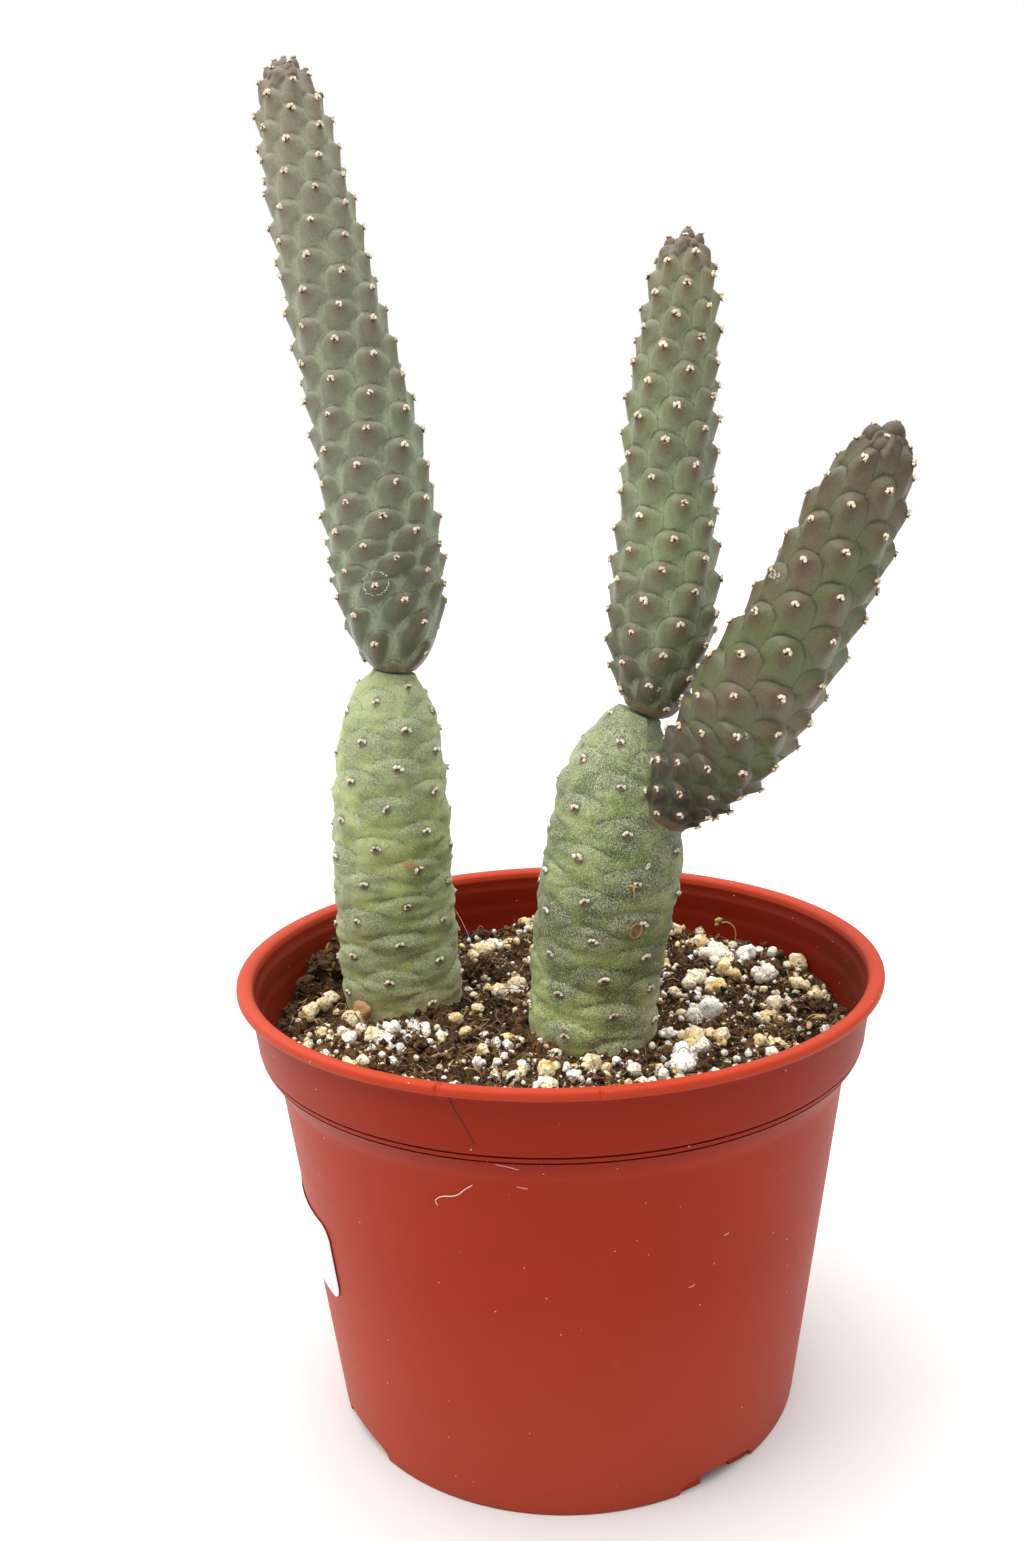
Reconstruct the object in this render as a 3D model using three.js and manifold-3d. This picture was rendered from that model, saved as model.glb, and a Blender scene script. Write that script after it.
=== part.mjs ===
// A potted pinecone cactus: a thin-walled round nursery pot full of peat and
// perlite, with two cactus plants standing in it. Each plant is a chain of
// separate egg-shaped to club-shaped stem segments, one growing on another.
// Millimetres, +Z up. The origin is the middle of the pot's underside.

import * as THREE from 'three';
import { mergeVertices } from 'three/addons/utils/BufferGeometryUtils.js';
import Module from 'manifold-3d';

const wasm = await Module();
wasm.setup();

// Pot: outside sizes, wall and rim.
const WALL = 1.2;
const FOOT_RADIUS = 61.3;
const BODY_TOP_RADIUS = 72.4;
const BODY_TOP = 86.2;
const SHOULDER_TOP = 100.9;
const COLLAR_RADIUS = 79.2;
const RIM_RADIUS = 82.5;
const RIM_UNDERSIDE = 114.8;
const RIM_TOP = 117.2;
const FLOOR_DISC_RADIUS = 46;
const CHANNEL_HEIGHT = 3.6;
const POT_SIDES = 48;

// Drain notches in the foot: the middle of each one, in degrees round the pot
// from the front (-Y) towards the right (+X).
const NOTCH_ANGLES = [-58.5, 35.7, 126, 214];
const NOTCH_HALF_WIDTH = 12.2;
const NOTCH_HEIGHT = 3.7;
const NOTCH_DEPTH = 1;
const SLOT_HALF_WIDTH = 5.2;

// Blank sticker on the pot's left side.
const LABEL_THICKNESS = 0.5;
const LABEL_RIGHT_ANGLE = -56;
const LABEL_WIDTH = 38;
const LABEL_TOP = 62.5;
const LABEL_HEIGHT = 20.5;
const LABEL_CORNER = 4;

// Soil: mean level of its surface, and the gap kept between touching pieces.
const SOIL_LEVEL = 98.5;
const GAP = 0.3;
const LARGE_GRAINS = 44;
const SMALL_GRAINS = 18;

// Stem segments. Each station is [x, y, z, radius] on the segment's middle
// line. The tubercles stand on a spiral: "turn" is the angle from one to the
// next, "first" the angle of number 0, and "counts" gives their number at some
// distances along the line. "twist" winds the spiral further near the foot: the
// square and the cube of what is left of its third number, a distance, turn it by
// the first two, in degrees. "relief" is how far a tubercle stands up, and "drop"
// how far its crease lies below half way to the next ones.
const SEGMENTS = {
  left_lower_segment: {
    stations: [
      [-43.6, 20, 78, 16.2], [-43.9, 20, 101, 16.4], [-44.9, 20, 132, 16.1],
      [-44.6, 20, 155, 15.5], [-43.7, 20, 176.5, 12.7], [-43.1, 20, 183.5, 10],
      [-42.2, 20, 189.6, 5.6],
    ],
    turn: 136.376,
    first: 110.7,
    counts: [[20, 7.4], [42.9, 24.2], [65.9, 42.9], [88.8, 60.6], [111.7, 78.2]],
    relief: 0.9, drop: 1, color: 0x8c9a78,
  },
  left_upper_segment: {
    stations: [
      [-41.6, 20, 189.9, 5.4], [-41.5, 20, 193.5, 8.6], [-41.6, 20, 198, 11],
      [-41.9, 20, 207.5, 13.5], [-42.8, 20, 220, 14.6], [-46.3, 20, 249.4, 13.5],
      [-53, 20, 282, 11.6], [-58, 20, 309.3, 10], [-61, 20, 328, 7.9],
      [-61.7, 20, 334.5, 5.4], [-62, 20, 338.3, 2.9], [-62.1, 20, 339.7, 0.4],
    ],
    turn: 136.733,
    first: -90.2,
    counts: [
      [0, -4.05], [18.3, 8.31], [36.7, 31.36], [60.6, 55.5], [90.9, 84.8], [121.2, 116.9],
      [151.5, 152.5],
    ],
    twist: [-103.8, 15.1, 55],
    relief: 2, drop: 2, color: 0x6f7a63,
  },
  right_lower_segment: {
    stations: [
      [7.6, -6, 76, 16.2], [8, -6, 100, 16.6], [10, -6, 122, 17],
      [13.6, -6, 143, 17.6], [16, -6, 162.1, 15.7], [17.4, -6, 170, 12.9],
      [19, -6, 177, 9.2], [20.8, -6, 181.6, 5.6],
    ],
    turn: -136.404,
    first: 171.7,
    counts: [[20, 6.7], [41.7, 24.1], [63.4, 42.7], [85.1, 58.1], [106.8, 75]],
    relief: 1.1, drop: 1, color: 0x7f8d6c,
  },
  right_upper_segment: {
    stations: [
      [22, -6, 182, 5.2], [23.2, -6, 184.8, 7.9], [25, -6, 192.5, 11],
      [26.2, -6, 203, 12.9], [27.2, -6, 214, 12.8], [28, -6, 233.6, 11.2],
      [29.2, -6, 256.2, 10.3], [31.1, -6, 274, 8.7], [32.2, -6, 286, 6.7],
      [32.7, -6, 291.5, 4.2], [32.9, -6, 293.5, 2.6], [33, -6, 294.6, 0.4],
    ],
    turn: 136.543,
    first: -22.5,
    counts: [[0, -0.1], [22.7, 23.7], [45.4, 47.5], [68, 69.2], [90.7, 92.8], [113.4, 118.6]],
    relief: 1.9, drop: 2, color: 0x6f7a5e,
  },
  right_side_segment: {
    stations: [
      [26.5, -18.5, 157.5, 5], [28.8, -19.6, 161.8, 8], [35, -21.5, 170.6, 11.6],
      [40.7, -22.8, 178, 13.3], [47.4, -25, 189.9, 14.1], [53.2, -26.8, 199.7, 13],
      [62.7, -30.5, 219, 11.5], [68, -33, 232, 10.1], [72.2, -35.1, 242, 7.2],
      [73.6, -35.9, 246.4, 4.5], [74.4, -36.3, 248.6, 2.8], [74.7, -36.5, 249.6, 0.4],
    ],
    turn: -136.944,
    first: 120.5,
    counts: [
      [0, -21.64], [12.7, -0.95], [25.3, 16.64], [42.4, 34.5], [63.6, 52.1], [84.8, 70.6],
      [106, 87.5],
    ],
    twist: [159.1, -124.3, 38],
    relief: 2, drop: 2, color: 0x667259,
  },
};

// Height of the tubercle's parts, in shares of its relief above the radius.
const TIP_LIFT = 0.42;
const EDGE_LIFT = -0.5;
const CREASE_LIFT = -0.62;

const RADIANS = Math.PI / 180;

// A small repeatable sequence of numbers between 0 and 1.
function makeDice(seed) {
  let state = seed;
  return () => {
    state = (state * 16807) % 2147483647;
    return state / 2147483647;
  };
}

// Turn a closed geometry into a solid, leaving out triangles with no area.
function solidOf(geometry) {
  const bare = new THREE.BufferGeometry();
  bare.setAttribute('position', geometry.getAttribute('position').clone());
  if (geometry.index) bare.setIndex(geometry.index.clone());
  const merged = mergeVertices(bare, 1e-4);
  const index = Array.from(merged.index.array);
  const kept = [];
  for (let i = 0; i < index.length; i += 3) {
    const [a, b, c] = [index[i], index[i + 1], index[i + 2]];
    if (a !== b && b !== c && c !== a) kept.push(a, b, c);
  }
  const mesh = new wasm.Mesh({
    numProp: 3,
    vertProperties: new Float32Array(merged.getAttribute('position').array),
    triVerts: new Uint32Array(kept),
  });
  return new wasm.Manifold(mesh);
}

function geometryOf(solid) {
  const mesh = solid.getMesh();
  const geometry = new THREE.BufferGeometry();
  geometry.setAttribute('position', new THREE.BufferAttribute(mesh.vertProperties, 3));
  geometry.setIndex(new THREE.BufferAttribute(mesh.triVerts, 1));
  geometry.computeVertexNormals();
  return geometry;
}

// A point at an angle round the pot: 0 is the front (-Y), 90 the right (+X).
function around(angle, radius, z) {
  return new THREE.Vector3(Math.sin(angle) * radius, -Math.cos(angle) * radius, z);
}

function latheSolid(profile) {
  const points = profile.map(([radius, z]) => new THREE.Vector2(radius, z));
  const geometry = new THREE.LatheGeometry(points, POT_SIDES);
  geometry.rotateX(Math.PI / 2);
  return solidOf(geometry);
}

// Pot profile, from the middle of the underside out, up and back down inside.
function bodyRadius(z) {
  return FOOT_RADIUS + (BODY_TOP_RADIUS - FOOT_RADIUS) * z / BODY_TOP;
}

// Inside of the wall above the floor, from the bottom up. Soil follows it.
const INSIDE = [
  [bodyRadius(6) - WALL, 5.6], [BODY_TOP_RADIUS - WALL, 86], [73.2, 90.2],
  [75.3, 94.4], [76.3, 98.2], [76.9, 101.4], [77.2, 106],
];

function makePot() {
  const floorTop = CHANNEL_HEIGHT + WALL;
  const underside = [
    [0, 0], [FLOOR_DISC_RADIUS, 0], [FLOOR_DISC_RADIUS + 2, CHANNEL_HEIGHT],
    [FOOT_RADIUS - 2.6, CHANNEL_HEIGHT], [FOOT_RADIUS - 2.3, 0], [FOOT_RADIUS, 0],
  ];
  const outside = [
    [BODY_TOP_RADIUS, BODY_TOP], [73, 88.3], [74.6, 90.9], [76.6, 95], [77.5, 98.2],
    [77.9, 98.6], [78.1, 100.5], [78.5, SHOULDER_TOP], [COLLAR_RADIUS, 108],
    [COLLAR_RADIUS + 0.2, RIM_UNDERSIDE], [RIM_RADIUS - 0.3, RIM_UNDERSIDE + 0.2],
    [RIM_RADIUS, RIM_UNDERSIDE + 1.1], [RIM_RADIUS - 0.15, RIM_TOP - 0.4],
    [RIM_RADIUS - 0.7, RIM_TOP], [RIM_RADIUS - 2.4, RIM_TOP - 0.1],
    [COLLAR_RADIUS - 0.7, RIM_TOP - 0.9],
  ];
  const inside = [
    [78, 112.6], [77.5, 112.2], [77.4, 106.4], ...INSIDE.slice().reverse(),
    [FOOT_RADIUS - 1.6, floorTop], [FLOOR_DISC_RADIUS + 1.4, floorTop],
    [FLOOR_DISC_RADIUS - 0.6, WALL], [0, WALL],
  ];
  let pot = latheSolid([...underside, ...outside, ...inside]);
  for (const degrees of NOTCH_ANGLES) {
    const middle = degrees * RADIANS;
    const recess = bentBlock(
      archOutline(NOTCH_HALF_WIDTH, NOTCH_HEIGHT), middle,
      FOOT_RADIUS - NOTCH_DEPTH, FOOT_RADIUS + 4,
    );
    const slot = bentBlock(
      archOutline(SLOT_HALF_WIDTH, NOTCH_HEIGHT - 0.3), middle,
      FOOT_RADIUS - 12, FOOT_RADIUS + 4,
    );
    const hole = bentBlock(
      boxOutline(SLOT_HALF_WIDTH - 1, CHANNEL_HEIGHT - 1, floorTop + 1), middle,
      FOOT_RADIUS - 11, FOOT_RADIUS - 3.6,
    );
    pot = pot.subtract(recess).subtract(slot).subtract(hole);
  }
  return pot;
}

// Outline of a low arch standing on the ground, in millimetres of width and
// height, with points close enough together to bend round the pot.
function archOutline(halfWidth, height) {
  const steps = 8;
  const outline = [];
  for (let i = 0; i <= steps; i++) {
    outline.push([-halfWidth + (2 * halfWidth * i) / steps, -1]);
  }
  for (let i = steps; i >= 0; i--) {
    const across = -1 + (2 * i) / steps;
    const rise = height * Math.pow(1 - Math.pow(Math.abs(across), 3), 0.5);
    outline.push([across * halfWidth, rise]);
  }
  return outline;
}

function boxOutline(halfWidth, low, high) {
  return [[-halfWidth, low], [halfWidth, low], [halfWidth, high], [-halfWidth, high]];
}

// Extrude an outline outwards from one radius to another, bent round the pot.
function bentBlock(outline, middle, innerRadius, outerRadius) {
  const shape = new THREE.Shape(outline.map(([x, y]) => new THREE.Vector2(x, y)));
  const geometry = new THREE.ExtrudeGeometry(shape, { depth: 1, bevelEnabled: false });
  const position = geometry.getAttribute('position');
  for (let i = 0; i < position.count; i++) {
    const angle = middle + position.getX(i) / FOOT_RADIUS;
    const radius = innerRadius + (outerRadius - innerRadius) * position.getZ(i);
    const point = around(angle, radius, position.getY(i));
    position.setXYZ(i, point.x, point.y, point.z);
  }
  return facingOut(geometry);
}

// Some mappings turn a geometry inside out: turn its triangles back round.
function facingOut(geometry) {
  const solid = solidOf(geometry);
  if (solid.volume() > 0) return solid;
  const flipped = mergeVertices(geometry.clone().deleteAttribute('normal').deleteAttribute('uv'), 1e-4);
  const index = flipped.index.array;
  for (let i = 0; i < index.length; i += 3) {
    [index[i], index[i + 1]] = [index[i + 1], index[i]];
  }
  return solidOf(flipped);
}

// The sticker is a thin grid bent round the wall, its corners rounded row by row.
function makeLabel() {
  const columns = 9;
  const rows = 5;
  const geometry = new THREE.BoxGeometry(1, 1, 1, columns, rows, 1);
  const position = geometry.getAttribute('position');
  const middleZ = LABEL_TOP - LABEL_HEIGHT / 2;
  for (let i = 0; i < position.count; i++) {
    const row = position.getY(i) * 2;
    const up = (Math.sin(row * Math.PI / 2) * LABEL_HEIGHT) / 2;
    const past = Math.max(0, Math.abs(up) - (LABEL_HEIGHT / 2 - LABEL_CORNER));
    const inset = LABEL_CORNER - Math.sqrt(LABEL_CORNER ** 2 - past ** 2);
    const across = position.getX(i) * (LABEL_WIDTH - 2 * inset);
    const z = middleZ + up;
    const lift = GAP + LABEL_THICKNESS * (position.getZ(i) + 0.5);
    const angle = LABEL_RIGHT_ANGLE * RADIANS + (across - LABEL_WIDTH / 2) / bodyRadius(z);
    const point = around(angle, bodyRadius(z) + lift, z);
    position.setXYZ(i, point.x, point.y, point.z);
  }
  return facingOut(geometry);
}

// Stem segments.

// Distances of the stations along the middle line.
function stationDistances(stations) {
  const distances = [0];
  for (let i = 1; i < stations.length; i++) {
    const [a, b] = [stations[i - 1], stations[i]];
    distances.push(distances[i - 1] + Math.hypot(b[0] - a[0], b[1] - a[1], b[2] - a[2]));
  }
  return distances;
}

// Values at a distance s on a smooth curve through rows of values that stand at
// known distances. Before the first row and past the last it runs straight on.
function smoothAt(distances, rows, s) {
  const last = rows.length - 1;
  const slope = (i) => {
    const [before, after] = [Math.max(i - 1, 0), Math.min(i + 1, last)];
    const run = distances[after] - distances[before];
    return rows[i].map((_, k) => (rows[after][k] - rows[before][k]) / run);
  };
  const end = s < distances[0] ? 0 : last;
  if (s < distances[0] || s > distances[last]) {
    const rate = slope(end);
    return rows[end].map((value, k) => value + rate[k] * (s - distances[end]));
  }
  let i = 0;
  while (i < last - 1 && s > distances[i + 1]) i++;
  const run = distances[i + 1] - distances[i];
  const t = (s - distances[i]) / run;
  const [rate0, rate1] = [slope(i), slope(i + 1)];
  return rows[i].map((value, k) => (
    (2 * t ** 3 - 3 * t ** 2 + 1) * value + (t ** 3 - 2 * t ** 2 + t) * run * rate0[k]
    + (3 * t ** 2 - 2 * t ** 3) * rows[i + 1][k] + (t ** 3 - t ** 2) * run * rate1[k]
  ));
}

// Position and radius at a distance along a segment's middle line. Below the
// first station the radius stays the same.
function lineAt(stations, distances, s) {
  const here = smoothAt(distances, stations, s);
  if (s < 0) here[3] = stations[0][3];
  return here;
}

// The surface is a net over the spiral of tubercles. Neighbours 5 and 8 apart
// on the spiral lie next to each other, so each tubercle gets a four-sided cell
// between them: a crease round it, a shoulder half way up and a raised tip.
function segmentSolid(spec, grow = 0) {
  const { stations, turn, first, counts } = spec;
  const distances = stationDistances(stations);
  const length = distances[distances.length - 1];
  const spare = 7;
  const marks = counts.map(([distance]) => distance);
  const numbers = counts.map(([, number]) => [number]);
  const countAt = (s) => smoothAt(marks, numbers, s)[0];
  const distanceOf = (n) => {
    let [low, high] = [-40, length + 40];
    for (let i = 0; i < 40; i++) {
      const middle = (low + high) / 2;
      if (countAt(middle) < n) low = middle;
      else high = middle;
    }
    return (low + high) / 2;
  };
  const twistAt = (s) => {
    const [square, cube, zone] = spec.twist ?? [0, 0, 1];
    const left = Math.max(0, 1 - s / zone);
    return (square * left ** 2 + cube * left ** 3) * RADIANS;
  };
  const step = (k) => (((k * turn + 180) % 360 + 360) % 360 - 180) * RADIANS;
  const [five, eight] = [step(5), step(8)];

  const points = [];
  const places = new Map();
  const surfacePoint = (s, angle, lift) => {
    const here = lineAt(stations, distances, s);
    const ahead = lineAt(stations, distances, s + 0.5);
    const behind = lineAt(stations, distances, s - 0.5);
    const along = new THREE.Vector3(
      ahead[0] - behind[0], ahead[1] - behind[1], ahead[2] - behind[2],
    ).normalize();
    const front = new THREE.Vector3(0, -1, 0);
    front.addScaledVector(along, -front.dot(along)).normalize();
    const side = new THREE.Vector3().crossVectors(along, front);
    const radius = here[3] + lift + grow;
    return new THREE.Vector3(here[0], here[1], here[2])
      .addScaledVector(front, Math.cos(angle) * radius)
      .addScaledVector(side, Math.sin(angle) * radius);
  };
  const poleOf = (name, s) => {
    if (!places.has(name)) {
      const here = lineAt(stations, distances, s);
      places.set(name, points.length);
      points.push(new THREE.Vector3(here[0], here[1], here[2]));
    }
    return places.get(name);
  };
  // kind and number name a net point; count and angle place it on the spiral.
  const netPoint = (kind, number, count, angle, shift, lift) => {
    const s = distanceOf(count) + shift;
    if (s >= length - 0.4) return poleOf('tip', length + grow);
    if (s <= -spare) return poleOf('foot', -spare);
    const key = `${kind}${number}`;
    if (!places.has(key)) {
      const room = Math.min(1, (length - s) / 6 + 0.25);
      const foot = spec.relief > 1.5 ? Math.min(1, Math.max(0.2, s / 9)) : 1;
      const fade = spec.relief * room * foot;
      places.set(key, points.length);
      points.push(surfacePoint(s, angle + twistAt(s), lift * fade));
    }
    return places.get(key);
  };
  const triangles = [];
  const low = Math.floor(countAt(-spare)) - 16;
  const high = Math.ceil(countAt(length)) + 16;
  const turnOf = (n) => first * RADIANS + n * turn * RADIANS;
  const crease = (n) => netPoint('c', n, n + 6.5, turnOf(n) + (five + eight) / 2, -spec.drop, CREASE_LIFT);
  const edgeFive = (n) => netPoint('f', n, n + 2.5, turnOf(n) + five / 2, -spec.drop, EDGE_LIFT);
  const edgeEight = (n) => netPoint('e', n, n + 4, turnOf(n) + eight / 2, -spec.drop, EDGE_LIFT);
  for (let n = low; n <= high; n++) {
    const angle = turnOf(n);
    const sideways = (five - eight) / 2;
    const shoulder = (name, up, across, lift) => netPoint(
      name, n, n + up, angle + across, -spec.drop * 0.35, lift,
    );
    const tip = netPoint('t', n, n, angle, 0, TIP_LIFT);
    const top = shoulder('u', 2.3, (five + eight) * 0.18, 0.1);
    const bottom = shoulder('b', -3.4, -(five + eight) * 0.26, -0.05);
    const left = shoulder('l', -0.75, sideways * 0.5, 0);
    const right = shoulder('r', 0.75, -sideways * 0.5, 0);
    const ring = [
      [crease(n), edgeEight(n), crease(n - 5), right, top],
      [crease(n - 5), edgeFive(n - 5), crease(n - 13), bottom, right],
      [crease(n - 13), edgeEight(n - 8), crease(n - 8), left, bottom],
      [crease(n - 8), edgeFive(n), crease(n), top, left],
    ];
    for (const [corner, middle, next, toShoulder, fromShoulder] of ring) {
      triangles.push([corner, fromShoulder, middle], [middle, fromShoulder, toShoulder]);
      triangles.push([middle, toShoulder, next], [fromShoulder, tip, toShoulder]);
    }
  }
  const kept = triangles.filter(([a, b, c]) => a !== b && b !== c && c !== a);
  const positions = new Float32Array(points.length * 3);
  points.forEach((point, i) => point.toArray(positions, i * 3));
  const geometry = new THREE.BufferGeometry();
  geometry.setAttribute('position', new THREE.BufferAttribute(positions, 3));
  geometry.setIndex(kept.flat());
  const solid = facingOut(geometry);
  return solid.subtract(endBlock(spec, grow));
}

// A block below the segment's first station, square to its middle line, that
// cuts the foot off flat.
function endBlock(spec, grow) {
  const [a, b] = spec.stations;
  const along = new THREE.Vector3(b[0] - a[0], b[1] - a[1], b[2] - a[2]).normalize();
  const block = new THREE.BoxGeometry(60, 60, 30);
  block.translate(0, 0, -15 - grow);
  block.applyQuaternion(
    new THREE.Quaternion().setFromUnitVectors(new THREE.Vector3(0, 0, 1), along),
  );
  block.translate(a[0], a[1], a[2]);
  return solidOf(block);
}

// Soil.

// Height of the soil's surface: low mounds, a higher clump at the back left
// and a fine crumbly roughness.
function soilHeight(x, y) {
  const bump = (cx, cy, width, height) => (
    height * Math.exp(-((x - cx) ** 2 + (y - cy) ** 2) / (2 * width ** 2))
  );
  const crumbs = 0.8 * Math.sin(x * 0.43 + 1.3) * Math.cos(y * 0.37 - 0.4)
    + 0.4 * Math.sin(x * 0.61 - y * 0.53);
  return SOIL_LEVEL + crumbs + bump(-62, 38, 9, 6) + bump(-66, 18, 8, 3.5)
    + bump(55, 40, 16, 3.5) + bump(8, 66, 20, 3) - bump(-22, 26, 7, 3.5)
    + bump(-20, -40, 18, 1.5) - bump(30, 20, 12, 1.5);
}

function makeSoil() {
  const rings = 10;
  const outline = INSIDE.filter(([, z]) => z < SOIL_LEVEL - 1).map(([radius, z]) => [radius - GAP, z]);
  const [edgeRadius] = [outline[outline.length - 1][0] + 0.3];
  const side = [
    [0, WALL + GAP], [FLOOR_DISC_RADIUS - 1, WALL + GAP],
    [FLOOR_DISC_RADIUS + 1, CHANNEL_HEIGHT + WALL + GAP],
    [FOOT_RADIUS - 2.1, CHANNEL_HEIGHT + WALL + GAP], ...outline,
  ];
  const top = [];
  for (let i = rings; i >= 0; i--) top.push([(edgeRadius * i) / rings, SOIL_LEVEL]);
  const points = [...side, ...top].map(([radius, z]) => new THREE.Vector2(radius, z));
  const geometry = new THREE.LatheGeometry(points, POT_SIDES);
  geometry.rotateX(Math.PI / 2);
  const position = geometry.getAttribute('position');
  for (let i = 0; i < position.count; i++) {
    if (position.getZ(i) < SOIL_LEVEL - 0.01) continue;
    position.setZ(i, soilHeight(position.getX(i), position.getY(i)));
  }
  let soil = facingOut(geometry);
  const dice = makeDice(4711);
  const scatter = (count, smallest, largest, makeShape) => {
    const grains = [];
    while (grains.length < count) {
      const angle = dice() * 2 * Math.PI;
      const reach = Math.sqrt(dice()) * (edgeRadius - largest / 2 - 1.5);
      const size = smallest + (largest - smallest) * dice() ** 2;
      const centre = around(angle, reach, 0);
      centre.z = soilHeight(centre.x, centre.y);
      if (clearOfStems(centre, size)) grains.push(grainSolid(makeShape(size / 2), centre, dice));
    }
    for (const grain of grains) {
      const sunk = soil.intersect(grain).volume() / grain.volume();
      if (sunk > 0.25) soil = soil.add(grain);
    }
  };
  scatter(LARGE_GRAINS, 3.4, 7.4, (radius) => new THREE.IcosahedronGeometry(radius, 0));
  scatter(SMALL_GRAINS, 2.2, 3.4, (radius) => new THREE.OctahedronGeometry(radius, 0));
  return soil;
}

// Grains lie beside the stems, not in them.
function clearOfStems(point, size) {
  const standing = [SEGMENTS.left_lower_segment, SEGMENTS.right_lower_segment];
  return standing.every(({ stations: [, [x, y, , radius]] }) => (
    Math.hypot(point.x - x, point.y - y) > radius + 1 + size * 0.6
  ));
}

// One perlite grain: a small lump stretched and turned at random.
function grainSolid(geometry, centre, dice) {
  geometry.scale(0.8 + 0.4 * dice(), 0.75 + 0.35 * dice(), 0.6 + 0.35 * dice());
  geometry.rotateX(dice() * 3);
  geometry.rotateZ(dice() * 6);
  geometry.translate(centre.x, centre.y, centre.z);
  return solidOf(geometry);
}

// Build the solids. Stems keep clear of the soil and of each other.
const solids = {};
for (const [name, spec] of Object.entries(SEGMENTS)) solids[name] = segmentSolid(spec);
solids.right_side_segment = solids.right_side_segment.subtract(
  segmentSolid(SEGMENTS.right_lower_segment, GAP),
);
solids.pot = makePot();
solids.label = makeLabel();
solids.soil = makeSoil()
  .subtract(segmentSolid(SEGMENTS.left_lower_segment, GAP))
  .subtract(segmentSolid(SEGMENTS.right_lower_segment, GAP));

const LOOKS = {
  pot: { color: 0xa8402a, roughness: 0.5 },
  label: { color: 0xf4f3f0, roughness: 0.6 },
  soil: { color: 0x3f2f22, roughness: 0.95 },
};

const group = new THREE.Group();
for (const name of ['pot', 'soil', 'label', ...Object.keys(SEGMENTS)]) {
  const look = LOOKS[name] ?? { color: SEGMENTS[name].color, roughness: 0.6 };
  const material = new THREE.MeshStandardMaterial({ ...look, metalness: 0 });
  const mesh = new THREE.Mesh(geometryOf(solids[name]), material);
  mesh.name = name;
  group.add(mesh);
}

export default group;
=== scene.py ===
# %% [markdown]
# # A potted pinecone cactus
# The object is a round plastic nursery pot full of peat and perlite, with two
# cactus plants in it. Each plant is a chain of stem segments: an old, thick one
# that stands in the soil, and younger, slimmer ones that grow on it. The packed
# solids give every size. This lesson builds finer meshes on the same numbers and
# gives them their finishes.

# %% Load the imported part
import math

import bmesh
import bpy
import numpy as np
from mathutils import Matrix, Vector, noise


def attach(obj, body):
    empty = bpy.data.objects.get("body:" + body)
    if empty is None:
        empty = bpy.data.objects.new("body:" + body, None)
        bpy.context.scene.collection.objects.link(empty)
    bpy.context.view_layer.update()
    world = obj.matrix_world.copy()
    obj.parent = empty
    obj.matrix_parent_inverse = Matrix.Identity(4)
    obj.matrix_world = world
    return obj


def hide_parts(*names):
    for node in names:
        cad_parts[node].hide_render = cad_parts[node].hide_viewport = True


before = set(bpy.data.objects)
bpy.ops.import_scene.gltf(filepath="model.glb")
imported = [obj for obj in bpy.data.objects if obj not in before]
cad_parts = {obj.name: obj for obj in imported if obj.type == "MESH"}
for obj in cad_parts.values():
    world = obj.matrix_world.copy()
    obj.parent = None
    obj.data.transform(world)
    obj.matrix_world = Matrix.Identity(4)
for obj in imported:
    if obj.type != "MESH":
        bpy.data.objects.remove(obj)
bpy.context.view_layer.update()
MM = 0.001
scene = bpy.context.scene
print("solids:", sorted(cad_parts))

# %% [markdown]
# ## Colours and nodes
# Colours are written as the hex values that a colour picker shows. Blender works
# with linear light, so one function turns them round. A second one adds a node
# with its settings and its links. A third lays a table of tints over a base
# colour, each where and as strongly as the table says, and a fourth makes a whole
# plain material of two close tints. That keeps every finish short to read.

# %% Colour and node helpers
def colour(hex_value):
    """The linear colour of an sRGB hex value."""
    parts = [(hex_value >> shift & 255) / 255 for shift in (16, 8, 0)]
    linear = [p / 12.92 if p <= 0.04045 else ((p + 0.055) / 1.055) ** 2.4 for p in parts]
    return (*linear, 1)


def add(tree, kind, inputs=None, **settings):
    """Add a node. Inputs are values, sockets, or nodes, of which the first open output is meant."""
    node = tree.nodes.new("ShaderNode" + kind)
    for name, value in settings.items():
        setattr(node, name, value)
    for name, value in (inputs or {}).items():
        if isinstance(value, bpy.types.Node):
            value = next(output for output in value.outputs if output.enabled)
        if isinstance(value, bpy.types.NodeSocket):
            tree.links.new(value, node.inputs[name])
        else:
            node.inputs[name].default_value = value
    return node


def new_material(name):
    """An empty material and its node tree."""
    material = bpy.data.materials.new(name)
    material.use_nodes = True
    material.node_tree.nodes.clear()
    return material, material.node_tree


def layered(tree, base, layers):
    """Lay tints over a base colour, each as strong as its shares multiplied.

    A share is a node, or a soft range: what it follows, where it starts and ends, and
    the share at the start and at the end, which are 0 and 1 if they aren't given."""
    for tint, *shares in layers:
        strength = None
        for share in shares:
            if isinstance(share, tuple):
                share = add(tree, "MapRange", dict(enumerate(share)),
                            interpolation_type="SMOOTHSTEP")
            strength = share if strength is None else add(
                tree, "Math", {0: strength, 1: share}, operation="MULTIPLY")
        base = add(tree, "Mix", {0: strength, 6: base, 7: colour(tint)}, data_type="RGBA")
    return base


def two_toned(name, first, second, bumps, roughness):
    """A whole plain material of two close tints, with so many bumps to the metre."""
    material, tree = new_material(name)
    place = add(tree, "TexCoord").outputs["Object"]
    uneven = add(tree, "TexNoise", {"Vector": place, "Scale": bumps, "Detail": 2.0})
    tint = layered(tree, colour(first), [(second, uneven)])
    surface = add(tree, "BsdfPrincipled", {"Base Color": tint, "Roughness": roughness})
    add(tree, "OutputMaterial", {0: surface})
    return material


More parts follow.
